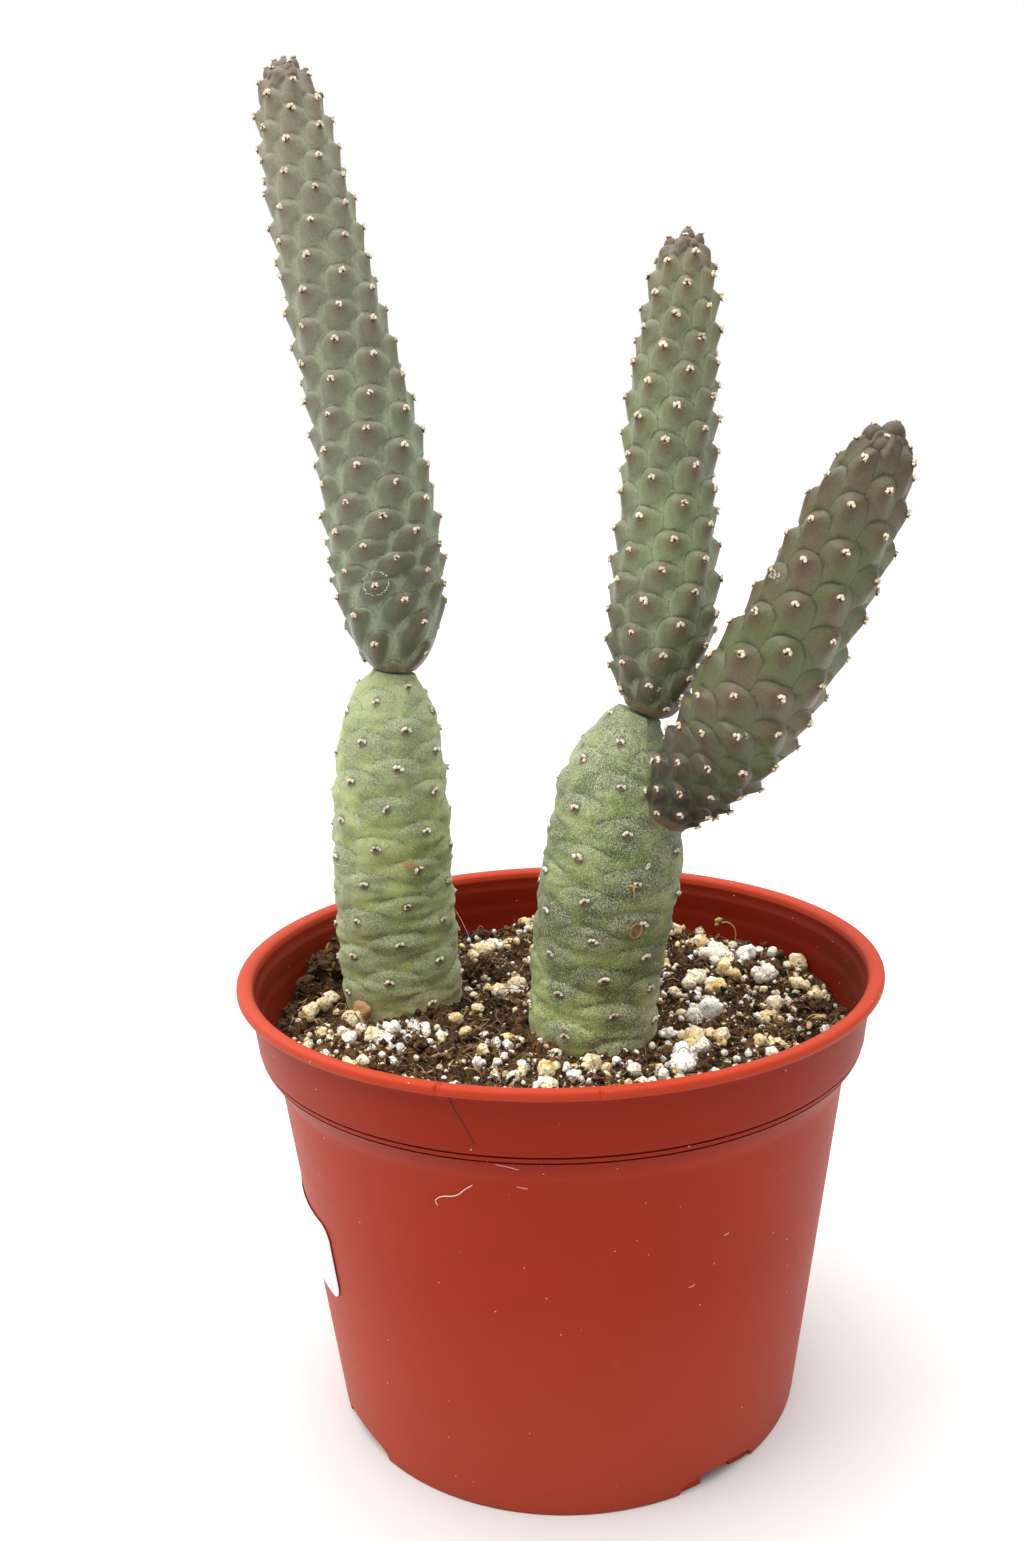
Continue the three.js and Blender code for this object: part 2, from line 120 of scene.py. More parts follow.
# %% [markdown]
# ## Camera
# The photograph was taken from a little above the pot's rim, about 34 cm in
# front of its middle, with a phone's wide lens. The picture was cropped, so its
# optical centre lies right of the middle, which a small lens shift gives back.

# %% Camera
FOCAL_PIXELS = 1384.24
PICTURE = (1024, 1541)
SENSOR = 36
OPTICAL_CENTRE_X = 560
EYE = Vector((0, -0.3425, 0.23997))
PITCH, YAW, ROLL = 0.2124, 0.0028, -0.0214

looking = Vector((
    math.sin(YAW) * math.cos(PITCH), math.cos(YAW) * math.cos(PITCH), -math.sin(PITCH)))
level = looking.cross(Vector((0, 0, 1))).normalized()
upright = level.cross(looking)
right = level * math.cos(ROLL) + upright * math.sin(ROLL)
top = upright * math.cos(ROLL) - level * math.sin(ROLL)
camera_data = bpy.data.cameras.new("camera")
camera_data.sensor_width = SENSOR
camera_data.lens = FOCAL_PIXELS / PICTURE[1] * SENSOR
camera_data.shift_x = (PICTURE[0] / 2 - OPTICAL_CENTRE_X) / PICTURE[1]
camera_data.clip_start = 0.01
camera = bpy.data.objects.new("camera", camera_data)
turned = Matrix((right, top, -looking)).transposed().to_4x4()
camera.matrix_world = Matrix.Translation(EYE) @ turned
scene.collection.objects.link(camera)
scene.camera = camera
print("lens", round(camera_data.lens, 2), "mm, shift", round(camera_data.shift_x, 4))

# %% [markdown]
# ## Floor and light
# The pot stands on a white sweep in soft light. The room is brightest overhead
# and behind, lighter on the left than on the right, and dim where the
# photographer stood. That keeps the fronts of things deep in colour, their tops
# and edges light, and leaves a faint shadow on the right. Seen directly, the
# room is plain white all round, so the floor runs into it without a line. The
# plain Standard view keeps the picked colours as they are.

# %% Floor and light
scene.view_settings.view_transform = "Standard"

paper, tree = new_material("white_paper_sweep")
mottle = add(tree, "TexNoise", {"Scale": 6.0, "Detail": 3.0})
tint = layered(tree, colour(0xd2d1d0), [(0xd7d6d5, mottle)])
surface = add(tree, "BsdfPrincipled", {"Base Color": tint, "Roughness": 0.9})
add(tree, "OutputMaterial", {0: surface})

floor_mesh = bpy.data.meshes.new("floor")
floor_mesh.from_pydata(
    [(-6, -6, 0), (6, -6, 0), (6, 6, 0), (-6, 6, 0)], [], [(0, 1, 2, 3)])
floor = bpy.data.objects.new("floor", floor_mesh)
floor.data.materials.append(paper)
scene.collection.objects.link(floor)

world = bpy.data.worlds.new("white_room")
world.use_nodes = True
room = world.node_tree
toward = add(room, "TexCoord").outputs["Generated"]
across, back, up = add(room, "SeparateXYZ", {0: toward}).outputs
behind = add(room, "MapRange", {0: back, 1: -0.55, 2: 0.5, 3: 0.16, 4: 0.85},
             interpolation_type="SMOOTHSTEP")
sideways = add(room, "MapRange", {0: across, 1: -0.9, 2: 0.9, 3: 1.4, 4: 0.36})
walls = add(room, "Math", {0: behind, 1: sideways}, operation="MULTIPLY")
ceiling, overhead = (
    add(room, "MapRange", {0: up, 1: start, 2: end, 4: power}, interpolation_type="SMOOTHSTEP")
    for start, end, power in ((0.25, 0.8, 1.55), (0.75, 1.0, 2.0)))
above = add(room, "Math", {0: ceiling, 1: overhead}, operation="ADD")
glow = add(room, "Math", {0: walls, 1: above}, operation="ADD")
seen = add(room, "LightPath").outputs["Is Camera Ray"]
strength = add(room, "Mix", {0: seen, 2: glow, 3: 1.0})
background = room.nodes["Background"].inputs
room.links.new(strength.outputs[0], background["Strength"])
background["Color"].default_value = (1, 1, 1, 1)
scene.world = world

# A square soft box, 0.6 m wide, to the left and above.
key_data = bpy.data.lights.new("key_light", "AREA")
key_data.size, key_data.energy, key_data.color = 0.6, 7.5, colour(0xfffaf4)[:3]
key_light = bpy.data.objects.new("key_light", key_data)
key_light.location = (-0.75, -0.45, 1.4)
aim = Vector((0, 0, 0.1)) - key_light.location
key_light.rotation_euler = aim.to_track_quat("-Z", "Y").to_euler()
scene.collection.objects.link(key_light)

# %% [markdown]
# ## Making pieces
# Every piece is written as arrays of points in millimetres and faces. One
# function turns them into a Blender object in metres, stores numbers on its
# points for the material to read, ties it to the part's one body, and hides the
# solids that it stands for.

# %% Piece helpers
total_triangles = 0


def make_piece(name, points, faces, material, slot, stands_for=(), sharp=None, **values):
    """An object from points in millimetres, riding on the part's one body."""
    global total_triangles
    mesh = bpy.data.meshes.new(name)
    points = np.asarray(points, float)
    mesh.from_pydata((points * MM).tolist(), [], faces)
    mesh.update()
    for key, numbers in values.items():
        layer = mesh.attributes.new(key, "FLOAT", "POINT")
        layer.data.foreach_set("value", np.asarray(numbers, np.float32))
    mesh.polygons.foreach_set("use_smooth", [True] * len(mesh.polygons))
    if sharp is not None:
        mesh.set_sharp_from_angle(angle=math.radians(sharp))
    mesh.materials.append(material)
    piece = bpy.data.objects.new(name, mesh)
    scene.collection.objects.link(piece)
    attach(piece, "root")
    if stands_for:
        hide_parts(*stands_for)
    triangles = sum(len(p.vertices) - 2 for p in mesh.polygons)
    total_triangles += triangles
    print(f"{name}: {triangles} triangles")
    return piece


def unit(vectors):
    """Vectors of length 1 in the same directions."""
    return vectors / np.linalg.norm(vectors, axis=-1, keepdims=True)


def grid_faces(rows, columns, closed=True):
    """Four-sided faces of a grid of points that may close on itself."""
    row = np.arange(rows - 1)[:, None] * columns
    column = np.arange(columns if closed else columns - 1)[None, :]
    beside = (column + 1) % columns
    quads = np.stack([row + column, row + beside, row + columns + beside,
                      row + columns + column], axis=-1)
    return quads.reshape(-1, 4).tolist()


def capped_faces(rows, columns):
    """Faces of a closed grid with a fan at each end, round the two points after the grid's."""
    faces = grid_faces(rows, columns)
    first_pole, last_row = rows * columns, (rows - 1) * columns
    for i in range(columns):
        j = (i + 1) % columns
        faces += [(first_pole, j, i), (first_pole + 1, last_row + i, last_row + j)]
    return faces


def grid_border(rows, columns):
    """The points on the border of an open grid, in order round it."""
    index = np.arange(rows * columns).reshape(rows, columns)
    return np.r_[index[0], index[1:, -1], index[-1, -2::-1], index[-2:0:-1, 0]].tolist()


def sheet_faces(rows, columns):
    """Faces of a thin sheet: an inner and an outer grid, joined at their border."""
    count = rows * columns
    inner = [face[::-1] for face in grid_faces(rows, columns, closed=False)]
    outer = [[i + count for i in face] for face in grid_faces(rows, columns, closed=False)]
    border = grid_border(rows, columns)
    sides = [(border[i - 1], border[i], border[i] + count, border[i - 1] + count)
             for i in range(len(border))]
    return outer + inner + sides


def around(angle, radius, z):
    """A point round the pot: 0 degrees is the front, 90 the right."""
    turn = np.radians(angle)
    return np.stack([np.sin(turn) * radius, -np.cos(turn) * radius,
                     np.broadcast_to(z, np.shape(turn * radius))], axis=-1)


def lumpy(points, size, seed=0):
    """Smooth noise from about -1 to 1, with bumps about `size` wide."""
    shift = Vector((seed * 7.31, seed * 3.17, seed * 5.71))
    return np.array([noise.noise(Vector(p) + shift) for p in np.asarray(points) / size])


# %% [markdown]
# ## The pot's shape
# A nursery pot is thin polypropylene, moulded in one piece: a slightly conical
# body, a shoulder that steps out to a collar with two fine grooves at its lower
# edge, and a rolled lip. Turning one outline round the axis gives it. The outline
# is rounder than in the solids and has many more sides, so that neither its edge
# nor its shading shows corners.

# %% Pot outline
# Outlines are pairs of radius and height, from the underside round to the inner floor.
FOOT_RADIUS, BODY_TOP_RADIUS, BODY_TOP = 61.3, 72.4, 86.2
WALL = 1.2


def body_radius(z):
    return FOOT_RADIUS + (BODY_TOP_RADIUS - FOOT_RADIUS) * z / BODY_TOP


UNDERSIDE = [(0, 0), (20, 0), (45.6, 0), (46.3, 0.4), (47.6, 3.2), (48.3, 3.6), (58.2, 3.6),
             (58.7, 3.2), (58.8, 0.2), (59.1, 0), (61, 0), (61.3, 0.3)]
BODY = [(body_radius(z), z) for z in np.linspace(1.2, 91.2, 21)]
SHOULDER = [(73.4, 92.4), (74, 93.6), (75, 95.2), (76, 96.8), (76.7, 97.8), (77.05, 98.35),
            (76.7, 98.45), (76.7, 98.75), (77.35, 98.9), (77.5, 99.3), (77.55, 99.85),
            (77.15, 99.95), (77.15, 100.25), (77.8, 100.4), (77.95, 100.9), (78.1, 102.5)]
COLLAR = [(78.35, 104.5), (78.8, 108), (79.1, 112), (79.3, 114.2), (79.6, 114.7), (80.2, 114.85),
          (81.6, 114.85), (82.2, 115), (82.45, 115.4), (82.5, 115.9), (82.45, 116.5),
          (82.2, 116.95), (81.8, 117.15), (81.3, 117.2), (80.4, 117.15), (79.6, 116.95),
          (78.95, 116.6), (78.5, 116.1)]
INSIDE = [(78.2, 114.4), (78, 112.8), (77.6, 112.3), (77.4, 111.5), (77.3, 108), (77.2, 106.6),
          (77, 106.1), (76.85, 104.5), (76.5, 101.4), (75.7, 98.2), (73.4, 94.4),
          (71.9, 90.2), (71.2, 86), (70.2, 76), (67.2, 55), (64.3, 32),
          (body_radius(6) - WALL, 5.6), (59.7, 4.8), (47.4, 4.8), (45.4, 1.2), (0, 1.2)]
outline = np.array(UNDERSIDE + BODY + SHOULDER + COLLAR + INSIDE)
print("outline points:", len(outline))

# %% [markdown]
# The lip has two small nicks, where it was once squeezed. Extra columns stand
# close together there, so that a few points can be pushed down. The poles on
# the axis get one point each and a ring of triangles.

# %% Pot mesh
# Angle, half width in degrees and depth of each. The lip's roll begins at 114.75 mm.
NICKS = [(-18.45, 0.4, 0.7), (5.46, 0.3, 0.5)]
LIP_FOOT = 114.75
angles = set(np.round(np.arange(0, 360, 1.5), 3))
for middle, _, _ in NICKS:
    angles |= set(np.round((middle + np.linspace(-1.6, 1.6, 17)) % 360, 3))
angles = np.array(sorted(angles))
rings = outline[1:-1]
wall_points = around(angles[None, :], rings[:, :1], rings[:, 1:])
for middle, half_width, depth in NICKS:
    away = (angles - middle + 180) % 360 - 180
    dent = np.exp(-(away / half_width) ** 4)
    step = np.where(away > 0, 0.25, 0) * np.exp(-(away / 2.5) ** 2)
    lip = np.clip((rings[:, 1] - LIP_FOOT) / 1.5, 0, 1) * (rings[:, 0] > 80.4)
    wall_points[..., 2] -= lip[:, None] * (dent * depth + step)[None, :] * 0.6
    inward = 1 - lip[:, None] * (dent * depth)[None, :] * 0.011
    wall_points[..., :2] *= inward[..., None]
pot_points = np.concatenate([wall_points.reshape(-1, 3), [[0, 0, 0], [0, 0, WALL]]])
pot_faces = capped_faces(len(rings), len(angles))
print("columns:", len(angles))

# %% [markdown]
# ## The pot's finish
# It is injection-moulded polypropylene: an evenly dyed terracotta red with a
# satin surface, as the steel mould was lightly blasted. Handling has left fine
# pale specks of dust and perlite, and faint scuffs run round it. The lip is
# painted a little lighter, as a highlight; the collar and the inside are painted
# a deeper red, as shade; and the foot and the left side are painted paler, as
# light from the floor and the left.

# %% Terracotta-red polypropylene
moulded_pp, tree = new_material("moulded_polypropylene_terracotta_red")
coordinates = add(tree, "TexCoord").outputs
place = coordinates["Object"]
across, _, up = add(tree, "SeparateXYZ", {0: place}).outputs
cloud = add(tree, "TexNoise", {"Vector": place, "Scale": 28.0, "Detail": 4.0})
# Scuffs are long round the pot and about 2 mm high.
round_the_pot = add(tree, "Mapping", {"Vector": place, "Scale": (40, 40, 460)})
scuff = add(tree, "TexNoise", {"Vector": round_the_pot, "Scale": 1.0, "Detail": 5.0,
                               "Roughness": 0.65})
facing_out = add(tree, "VectorMath", {0: place, 1: coordinates["Normal"]},
                 operation="DOT_PRODUCT")
# What each follows, from where to where, and its strength at both ends. The lip's
# painted highlight begins at 114.7 mm, the inside is painted darker as shade, and
# the foot and the left side are painted paler, as light from the floor and the left.
scuffed, inside, lip, painted_foot_light, painted_left_light, sheen = (
    add(tree, "MapRange", dict(enumerate(span))) for span in (
        (scuff, 0.58, 0.8, 0, 0.1), (facing_out, 0.02, -0.02, 0, 0.8),
        (up, 0.1147, 0.1152, 0, 0.58), (up, 0.06, 0, 0, 0.36),
        (across, -0.03, -0.075, 0, 0.2), (scuff, 0.3, 0.75, 0.44, 0.5)))
painted_foot_and_left_light = add(tree, "Math", {0: painted_foot_light, 1: painted_left_light}, operation="ADD")
# The two grooves under the collar are 0.44 mm high and hold shade and dirt.
lower_groove, upper_groove = (
    add(tree, "Math", {0: up, 1: middle, 2: 0.00022}, operation="COMPARE")
    for middle in (0.0986, 0.1001))
both = add(tree, "Math", {0: lower_groove, 1: upper_groove}, operation="ADD")
grooves = add(tree, "Math", {0: both, 1: 0.45}, operation="MULTIPLY")
# Specks are 0.4 mm wide, two or three to a square centimetre: cells 4 mm wide,
# of which a random part has a speck at its heart.
cells = add(tree, "TexVoronoi", {"Vector": place, "Scale": 260.0}).outputs
speck = add(tree, "Math", {0: cells["Distance"], 1: 0.05}, operation="LESS_THAN")
cell_tone = add(tree, "SeparateColor", {0: cells["Color"]})
chosen = add(tree, "Math", {0: cell_tone, 1: 0.5}, operation="GREATER_THAN")
red = layered(tree, colour(0x93260d), [
    (0x9c2c11, cloud),
    (0xb8492f, scuffed),
    # Painted shade: the collar is a deeper red, and the inside deeper still.
    (0x861e08, (up, 0.092, 0.1, 0, 0.8)),
    (0x6a1605, inside),
    # Painted highlight: the lip is a lighter red.
    (0xbe4226, lip),
    # Painted light: the foot and the left side are paler, as lit from the floor and the left.
    (0xb8523c, painted_foot_and_left_light),
    (0x541406, grooves),
    (0xe2a892, speck, chosen)])
# The blasted mould leaves a grain of about 0.25 mm.
grain, sink = (add(tree, "TexNoise", {"Vector": place, "Scale": bumps, "Detail": 2.0})
               for bumps in (3600.0, 60.0))
skin_height = add(tree, "Math", {0: grain, 1: 0.04, 2: sink}, operation="MULTIPLY_ADD")
bump = add(tree, "Bump", {"Strength": 0.25, "Distance": 0.0006, "Height": skin_height})
surface = add(tree, "BsdfPrincipled", {
    "Base Color": red, "Roughness": sheen, "IOR": 1.49, "Specular IOR Level": 0.12,
    "Normal": bump})
add(tree, "OutputMaterial", {0: surface})
pot = make_piece("pot_body", pot_points, pot_faces, moulded_pp, "pot", ["pot"], sharp=38)

# %% [markdown]
# ## Drain notches
# Water leaves through four low arches in the foot. Each is a shallow recess in
# the wall with a slot through it. Cutting them with a Boolean keeps their edges
# crisp: a block with the arch's outline is bent round the pot, and taken away.

# %% Drain notches
NOTCH_ANGLES = [-58.5, 35.7, 126, 214]


def arch_cutter(middle, half_width, height, depth):
    """A closed block with a low arch's outline, bent round the foot."""
    across = np.linspace(-1, 1, 25)
    rise = height * np.sqrt(1 - np.abs(across) ** 3)
    loop = np.concatenate([np.stack([across * half_width, rise * 0 - 1], 1),
                           np.stack([across * half_width, rise], 1)[::-1][1:-1]])
    rows = [around(middle + np.degrees(loop[:, 0] / FOOT_RADIUS), radius, loop[:, 1])
            for radius in (FOOT_RADIUS - depth, FOOT_RADIUS + 4)]
    count = len(loop)
    mesh = bpy.data.meshes.new("cutter")
    faces = [(i, (i + 1) % count, count + (i + 1) % count, count + i) for i in range(count)]
    faces += [tuple(range(count))[::-1], tuple(range(count, 2 * count))]
    mesh.from_pydata((np.concatenate(rows) * MM).tolist(), [], faces)
    mesh.update()
    cutter = bpy.data.objects.new("cutter", mesh)
    scene.collection.objects.link(cutter)
    return cutter


for middle in NOTCH_ANGLES:
    # The recess, then the slot: half width, height and how far in from the wall it goes.
    for size in ((12.2, 3.7, 1), (5.2, 3.4, 12)):
        cutter = arch_cutter(middle, *size)
        cut = pot.modifiers.new("cut", "BOOLEAN")
        cut.operation, cut.solver, cut.object = "DIFFERENCE", "EXACT", cutter
        evaluated = pot.evaluated_get(bpy.context.evaluated_depsgraph_get())
        cut_mesh = bpy.data.meshes.new_from_object(evaluated)
        pot.modifiers.clear()
        pot.data = cut_mesh
        bpy.data.objects.remove(cutter)
pot.data.set_sharp_from_angle(angle=math.radians(38))
print("pot faces after cutting:", len(pot.data.polygons))

# %% [markdown]
# ## Sticker
# A blank white sticker wraps round the wall on the left. It is vinyl-coated
# paper, 0.25 mm thick here, with rounded corners. It is made as a thin grid that
# follows the wall, front and back, joined at its border.

# %% Sticker
LABEL_RIGHT, LABEL_WIDTH, LABEL_TOP, LABEL_HEIGHT, LABEL_CORNER = -56, 38, 62.5, 20.5, 4
rows, columns = 29, 41
row = np.linspace(-1, 1, rows)
up = np.sin(row * math.pi / 2) * LABEL_HEIGHT / 2
past = np.clip(np.abs(up) - (LABEL_HEIGHT / 2 - LABEL_CORNER), 0, LABEL_CORNER)
inset = LABEL_CORNER - np.sqrt(LABEL_CORNER ** 2 - past ** 2)
across = np.linspace(-0.5, 0.5, columns)[None, :] * (LABEL_WIDTH - 2 * inset[:, None])
z = (LABEL_TOP - LABEL_HEIGHT / 2 + up)[:, None] + across * 0
turn = LABEL_RIGHT + np.degrees((across - LABEL_WIDTH / 2) / body_radius(z))
sheet = [around(turn, body_radius(z) + lift, z).reshape(-1, 3) for lift in (0.3, 0.55)]

coated_paper, tree = new_material("coated_paper_white")
place = add(tree, "TexCoord").outputs["Object"]
pulp = add(tree, "TexNoise", {"Vector": place, "Scale": 900.0, "Detail": 3.0})
white = layered(tree, colour(0xf2f1ef), [(0xfcfcfb, pulp)])
bump = add(tree, "Bump", {"Strength": 0.1, "Distance": 0.0002, "Height": pulp})
surface = add(tree, "BsdfPrincipled", {"Base Color": white, "Roughness": 0.45, "Normal": bump})
add(tree, "OutputMaterial", {0: surface})
make_piece("label_sheet", np.concatenate(sheet), sheet_faces(rows, columns), coated_paper,
           "label", ["label"], sharp=50)

# %% [markdown]
# ## Thin strands
# Cracks, hairs, rootlets and twigs are all thin strands. A tube that follows a
# list of points, with a radius at each one, makes them all. Seven sides are
# enough for a twig and three or four for a hair.

# %% Strand helper
def strand(path, radii, sides=4):
    """Points and faces of a closed tube along a path."""
    path = np.asarray(path, float)
    radii = np.broadcast_to(radii, len(path))
    ahead = unit(np.gradient(path, axis=0))
    helper = np.array([0.31, 0.52, 0.8])
    side = unit(np.cross(ahead, helper))
    other = np.cross(ahead, side)
    turn = np.arange(sides) * 2 * math.pi / sides
    ring = (side[:, None] * np.cos(turn)[None, :, None]
            + other[:, None] * np.sin(turn)[None, :, None])
    points = (path[:, None] + ring * radii[:, None, None]).reshape(-1, 3)
    faces = grid_faces(len(path), sides)
    faces += [list(range(sides))[::-1], [(len(path) - 1) * sides + i for i in range(sides)]]
    return points, faces


def joined(parts):
    """Several lots of points and faces as one."""
    points, faces, base = [], [], 0
    for some_points, some_faces in parts:
        points.append(some_points)
        faces += [[i + base for i in face] for face in some_faces]
        base += len(some_points)
    return np.concatenate(points), faces


def path_marks(points):
    """The distance along a path to each of its points."""
    return np.r_[0, np.cumsum(np.linalg.norm(np.diff(points, axis=0), axis=1))]


def smooth_curve(marks, rows, slopes, at):
    """Values on a curve that passes through rows at marks, with a slope at each."""
    i = np.clip(np.searchsorted(marks, at) - 1, 0, len(marks) - 2)
    run = (marks[i + 1] - marks[i])[..., None]
    t = (at - marks[i])[..., None] / run
    return ((2 * t ** 3 - 3 * t ** 2 + 1) * rows[i] + (t ** 3 - 2 * t ** 2 + t) * run * slopes[i]
            + (3 * t ** 2 - 2 * t ** 3) * rows[i + 1] + (t ** 3 - t ** 2) * run * slopes[i + 1])


def smooth_path(points, count):
    """A denser, rounded version of a path."""
    points = np.asarray(points, float)
    marks = path_marks(points)
    slopes = np.gradient(points, marks, axis=0)
    return smooth_curve(marks, points, slopes, np.linspace(0, marks[-1], count))


def on_wall(angle, z, lift):
    """A point just off the outside of the pot."""
    profile = np.array(BODY + SHOULDER + COLLAR[:6])
    return around(angle, np.interp(z, profile[:, 1], profile[:, 0]) + lift, z)


# %% [markdown]
# ## Marks on the pot
# A hairline crack runs down the collar from the lip, a curly white fibre clings
# to the wall below it, and four fine scratches are scattered over the wall. Each
# is a strand that is pressed half way into the wall.

# %% Marks on the pot
crack_path = [on_wall(a, z, 0) for a, z in (
    (-17.8, 114.6), (-17.4, 112.9), (-16.6, 110.4), (-15.4, 107.3), (-14.6, 104.8), (-14, 103))]
fibre_path = [on_wall(a, z, 0.14) for a, z in (
    (-22.8, 83.9), (-23.1, 84.9), (-22.4, 86), (-21.4, 86.6), (-20, 86.9), (-18.8, 87.5),
    (-17.3, 89.2), (-15.9, 90.5))]
scratches = [[on_wall(a, z, 0) for a, z in ends] for ends in (
    ((-10.9, 98), (-9, 97.3), (-7.4, 96.5)), ((24.4, 61), (24, 60.6), (23.2, 60.5)),
    ((31.2, 72), (30.8, 71.8), (30.1, 71.8)), ((-8.2, 91), (-7, 90.7), (-6.3, 90.6)))]

# The crack is a dark strand of painted shade, as in its hairline gap.
crack_shadow = two_toned("crack_painted_shade", 0x3c0c05, 0x621709, 400.0, 0.7)
cotton = two_toned("cotton_fibre_white", 0xd9b7a8, 0xf4ebe4, 700.0, 0.8)
make_piece("pot_crack", *strand(smooth_path(crack_path, 24), 0.17), crack_shadow, "pot")
lint = [strand(smooth_path(fibre_path, 40), 0.13)]
lint += [strand(smooth_path(s, 8), 0.07) for s in scratches]
make_piece("pot_lint", *joined(lint), cotton, "pot")

# %% [markdown]
# ## The stems' middle lines
# Each stem segment is a smooth tube round a middle line. The same stations as in
# the solids give its line and its radius, and a smooth curve runs through them.
# All the functions here take whole arrays of distances at once, because a stem
# has tens of thousands of points.

# %% Stem table
# Stations: across, back, height and radius. Counts: a distance along the stem and the
# spiral's number there. Shape: a tubercle's half width at its hood and its tail, and its
# reach above and below the areole. Twist: extra turn near the foot, and its reach.
STEMS = {
    "left_lower_segment": dict(
        stations=[(-43.6, 20, 78, 16.2), (-43.9, 20, 101, 16.4), (-44.9, 20, 132, 16.1),
                  (-44.6, 20, 155, 15.5), (-43.7, 20, 176.5, 12.7), (-43.1, 20, 183.5, 10),
                  (-42.2, 20, 189.6, 5.6)],
        turn=136.376, first=110.7,
        counts=[(20, 7.4), (42.9, 24.2), (65.9, 42.9), (88.8, 60.6), (111.7, 78.2)],
        twist=(0, 0, 1), relief=1.25, old=True, shape=(7.6, 6.4, 2.6, 6.0), soft=1.5),
    "left_upper_segment": dict(
        stations=[(-41.6, 20, 189.9, 5.4), (-41.5, 20, 193.5, 8.6), (-41.6, 20, 198, 11),
                  (-41.9, 20, 207.5, 13.5), (-42.8, 20, 220, 14.6), (-46.3, 20, 249.4, 13.5),
                  (-53, 20, 282, 11.6), (-58, 20, 309.3, 10), (-61, 20, 328, 7.9),
                  (-61.7, 20, 334.5, 5.4), (-62, 20, 338.3, 2.9), (-62.1, 20, 339.7, 0.4)],
        turn=136.733, first=-90.2,
        counts=[(0, -4.05), (18.3, 8.31), (36.7, 31.36), (60.6, 55.5), (90.9, 84.8),
                (121.2, 116.9), (151.5, 152.5)],
        twist=(-103.8, 15.1, 55), relief=1.25, old=False, shape=(4.9, 4.9, 2.3, 6.2), soft=2.0),
    "right_lower_segment": dict(
        stations=[(7.6, -6, 76, 16.2), (8, -6, 100, 16.6), (10, -6, 122, 17),
                  (13.6, -6, 143, 17.6), (16, -6, 162.1, 15.7), (17.4, -6, 170, 12.9),
                  (19, -6, 177, 9.2), (20.8, -6, 181.6, 5.6)],
        turn=-136.404, first=171.7,
        counts=[(20, 6.7), (41.7, 24.1), (63.4, 42.7), (85.1, 58.1), (106.8, 75)],
        twist=(0, 0, 1), relief=1.2, old=True, shape=(7.4, 6.4, 2.7, 6.0), soft=1.4),
    "right_upper_segment": dict(
        stations=[(22, -6, 182, 5.2), (23.2, -6, 184.8, 7.9), (25, -6, 192.5, 11),
                  (26.2, -6, 203, 12.9), (27.2, -6, 214, 12.8), (28, -6, 233.6, 11.2),
                  (29.2, -6, 256.2, 10.3), (31.1, -6, 274, 8.7), (32.2, -6, 286, 6.7),
                  (32.7, -6, 291.5, 4.2), (32.9, -6, 293.5, 2.6), (33, -6, 294.6, 0.4)],
        turn=136.543, first=-22.5,
        counts=[(0, -0.1), (22.7, 23.7), (45.4, 47.5), (68, 69.2), (90.7, 92.8),
                (113.4, 118.6)],
        twist=(0, 0, 1), relief=1.35, old=False, shape=(5.1, 5.0, 2.4, 6.2), soft=1.6),
    "right_side_segment": dict(
        stations=[(26.5, -18.5, 157.5, 5), (28.8, -19.6, 161.8, 8), (35, -21.5, 170.6, 11.6),
                  (40.7, -22.8, 178, 13.3), (47.4, -25, 189.9, 14.1), (53.2, -26.8, 199.7, 13),
                  (62.7, -30.5, 219, 11.5), (68, -33, 232, 10.1), (72.2, -35.1, 242, 7.2),
                  (73.6, -35.9, 246.4, 4.5), (74.4, -36.3, 248.6, 2.8), (74.7, -36.5, 249.6, 0.4)],
        turn=-136.944, first=120.5,
        counts=[(0, -21.64), (12.7, -0.95), (25.3, 16.64), (42.4, 34.5), (63.6, 52.1),
                (84.8, 70.6), (106, 87.5)],
        twist=(159.1, -124.3, 38), relief=1.5, old=False, shape=(5.3, 5.2, 2.5, 6.4), soft=1.4),
}


# %% Smooth curves through stations
def smooth_at(marks, rows, at):
    """Values at distances on a smooth curve through rows, which runs on straight past its ends."""
    marks, rows = np.asarray(marks, float), np.asarray(rows, float)
    index = np.arange(len(marks))
    before, after = np.maximum(index - 1, 0), np.minimum(index + 1, len(marks) - 1)
    slopes = (rows[after] - rows[before]) / (marks[after] - marks[before])[:, None]
    inside = np.clip(at, marks[0], marks[-1])
    rate = np.where((at < marks[0])[..., None], slopes[0], slopes[-1])
    return smooth_curve(marks, rows, slopes, inside) + rate * (at - inside)[..., None]


for stem in STEMS.values():
    stem["marks"] = path_marks([station[:3] for station in stem["stations"]])
    stem["length"] = stem["marks"][-1]
    walk = np.linspace(-20, stem["length"] + 20, 4000)
    count_marks = [distance for distance, _ in stem["counts"]]
    numbers = [(number,) for _, number in stem["counts"]]
    stem["walk"], stem["walk_counts"] = walk, smooth_at(count_marks, numbers, walk)[:, 0]


def radius_at(stem, s):
    """The radius of a segment at distances s."""
    return smooth_at(stem["marks"], stem["stations"], s)[..., 3]


def stem_frame(stem, s):
    """Middle line, radius and the front, side and forward directions at distances s."""
    here = smooth_at(stem["marks"], stem["stations"], s)
    along = unit((smooth_at(stem["marks"], stem["stations"], s + 0.5)
                  - smooth_at(stem["marks"], stem["stations"], s - 0.5))[..., :3])
    front = unit(np.array([0, -1.0, 0]) - along * -along[..., 1:2])
    return here[..., :3], here[..., 3], front, np.cross(along, front), along


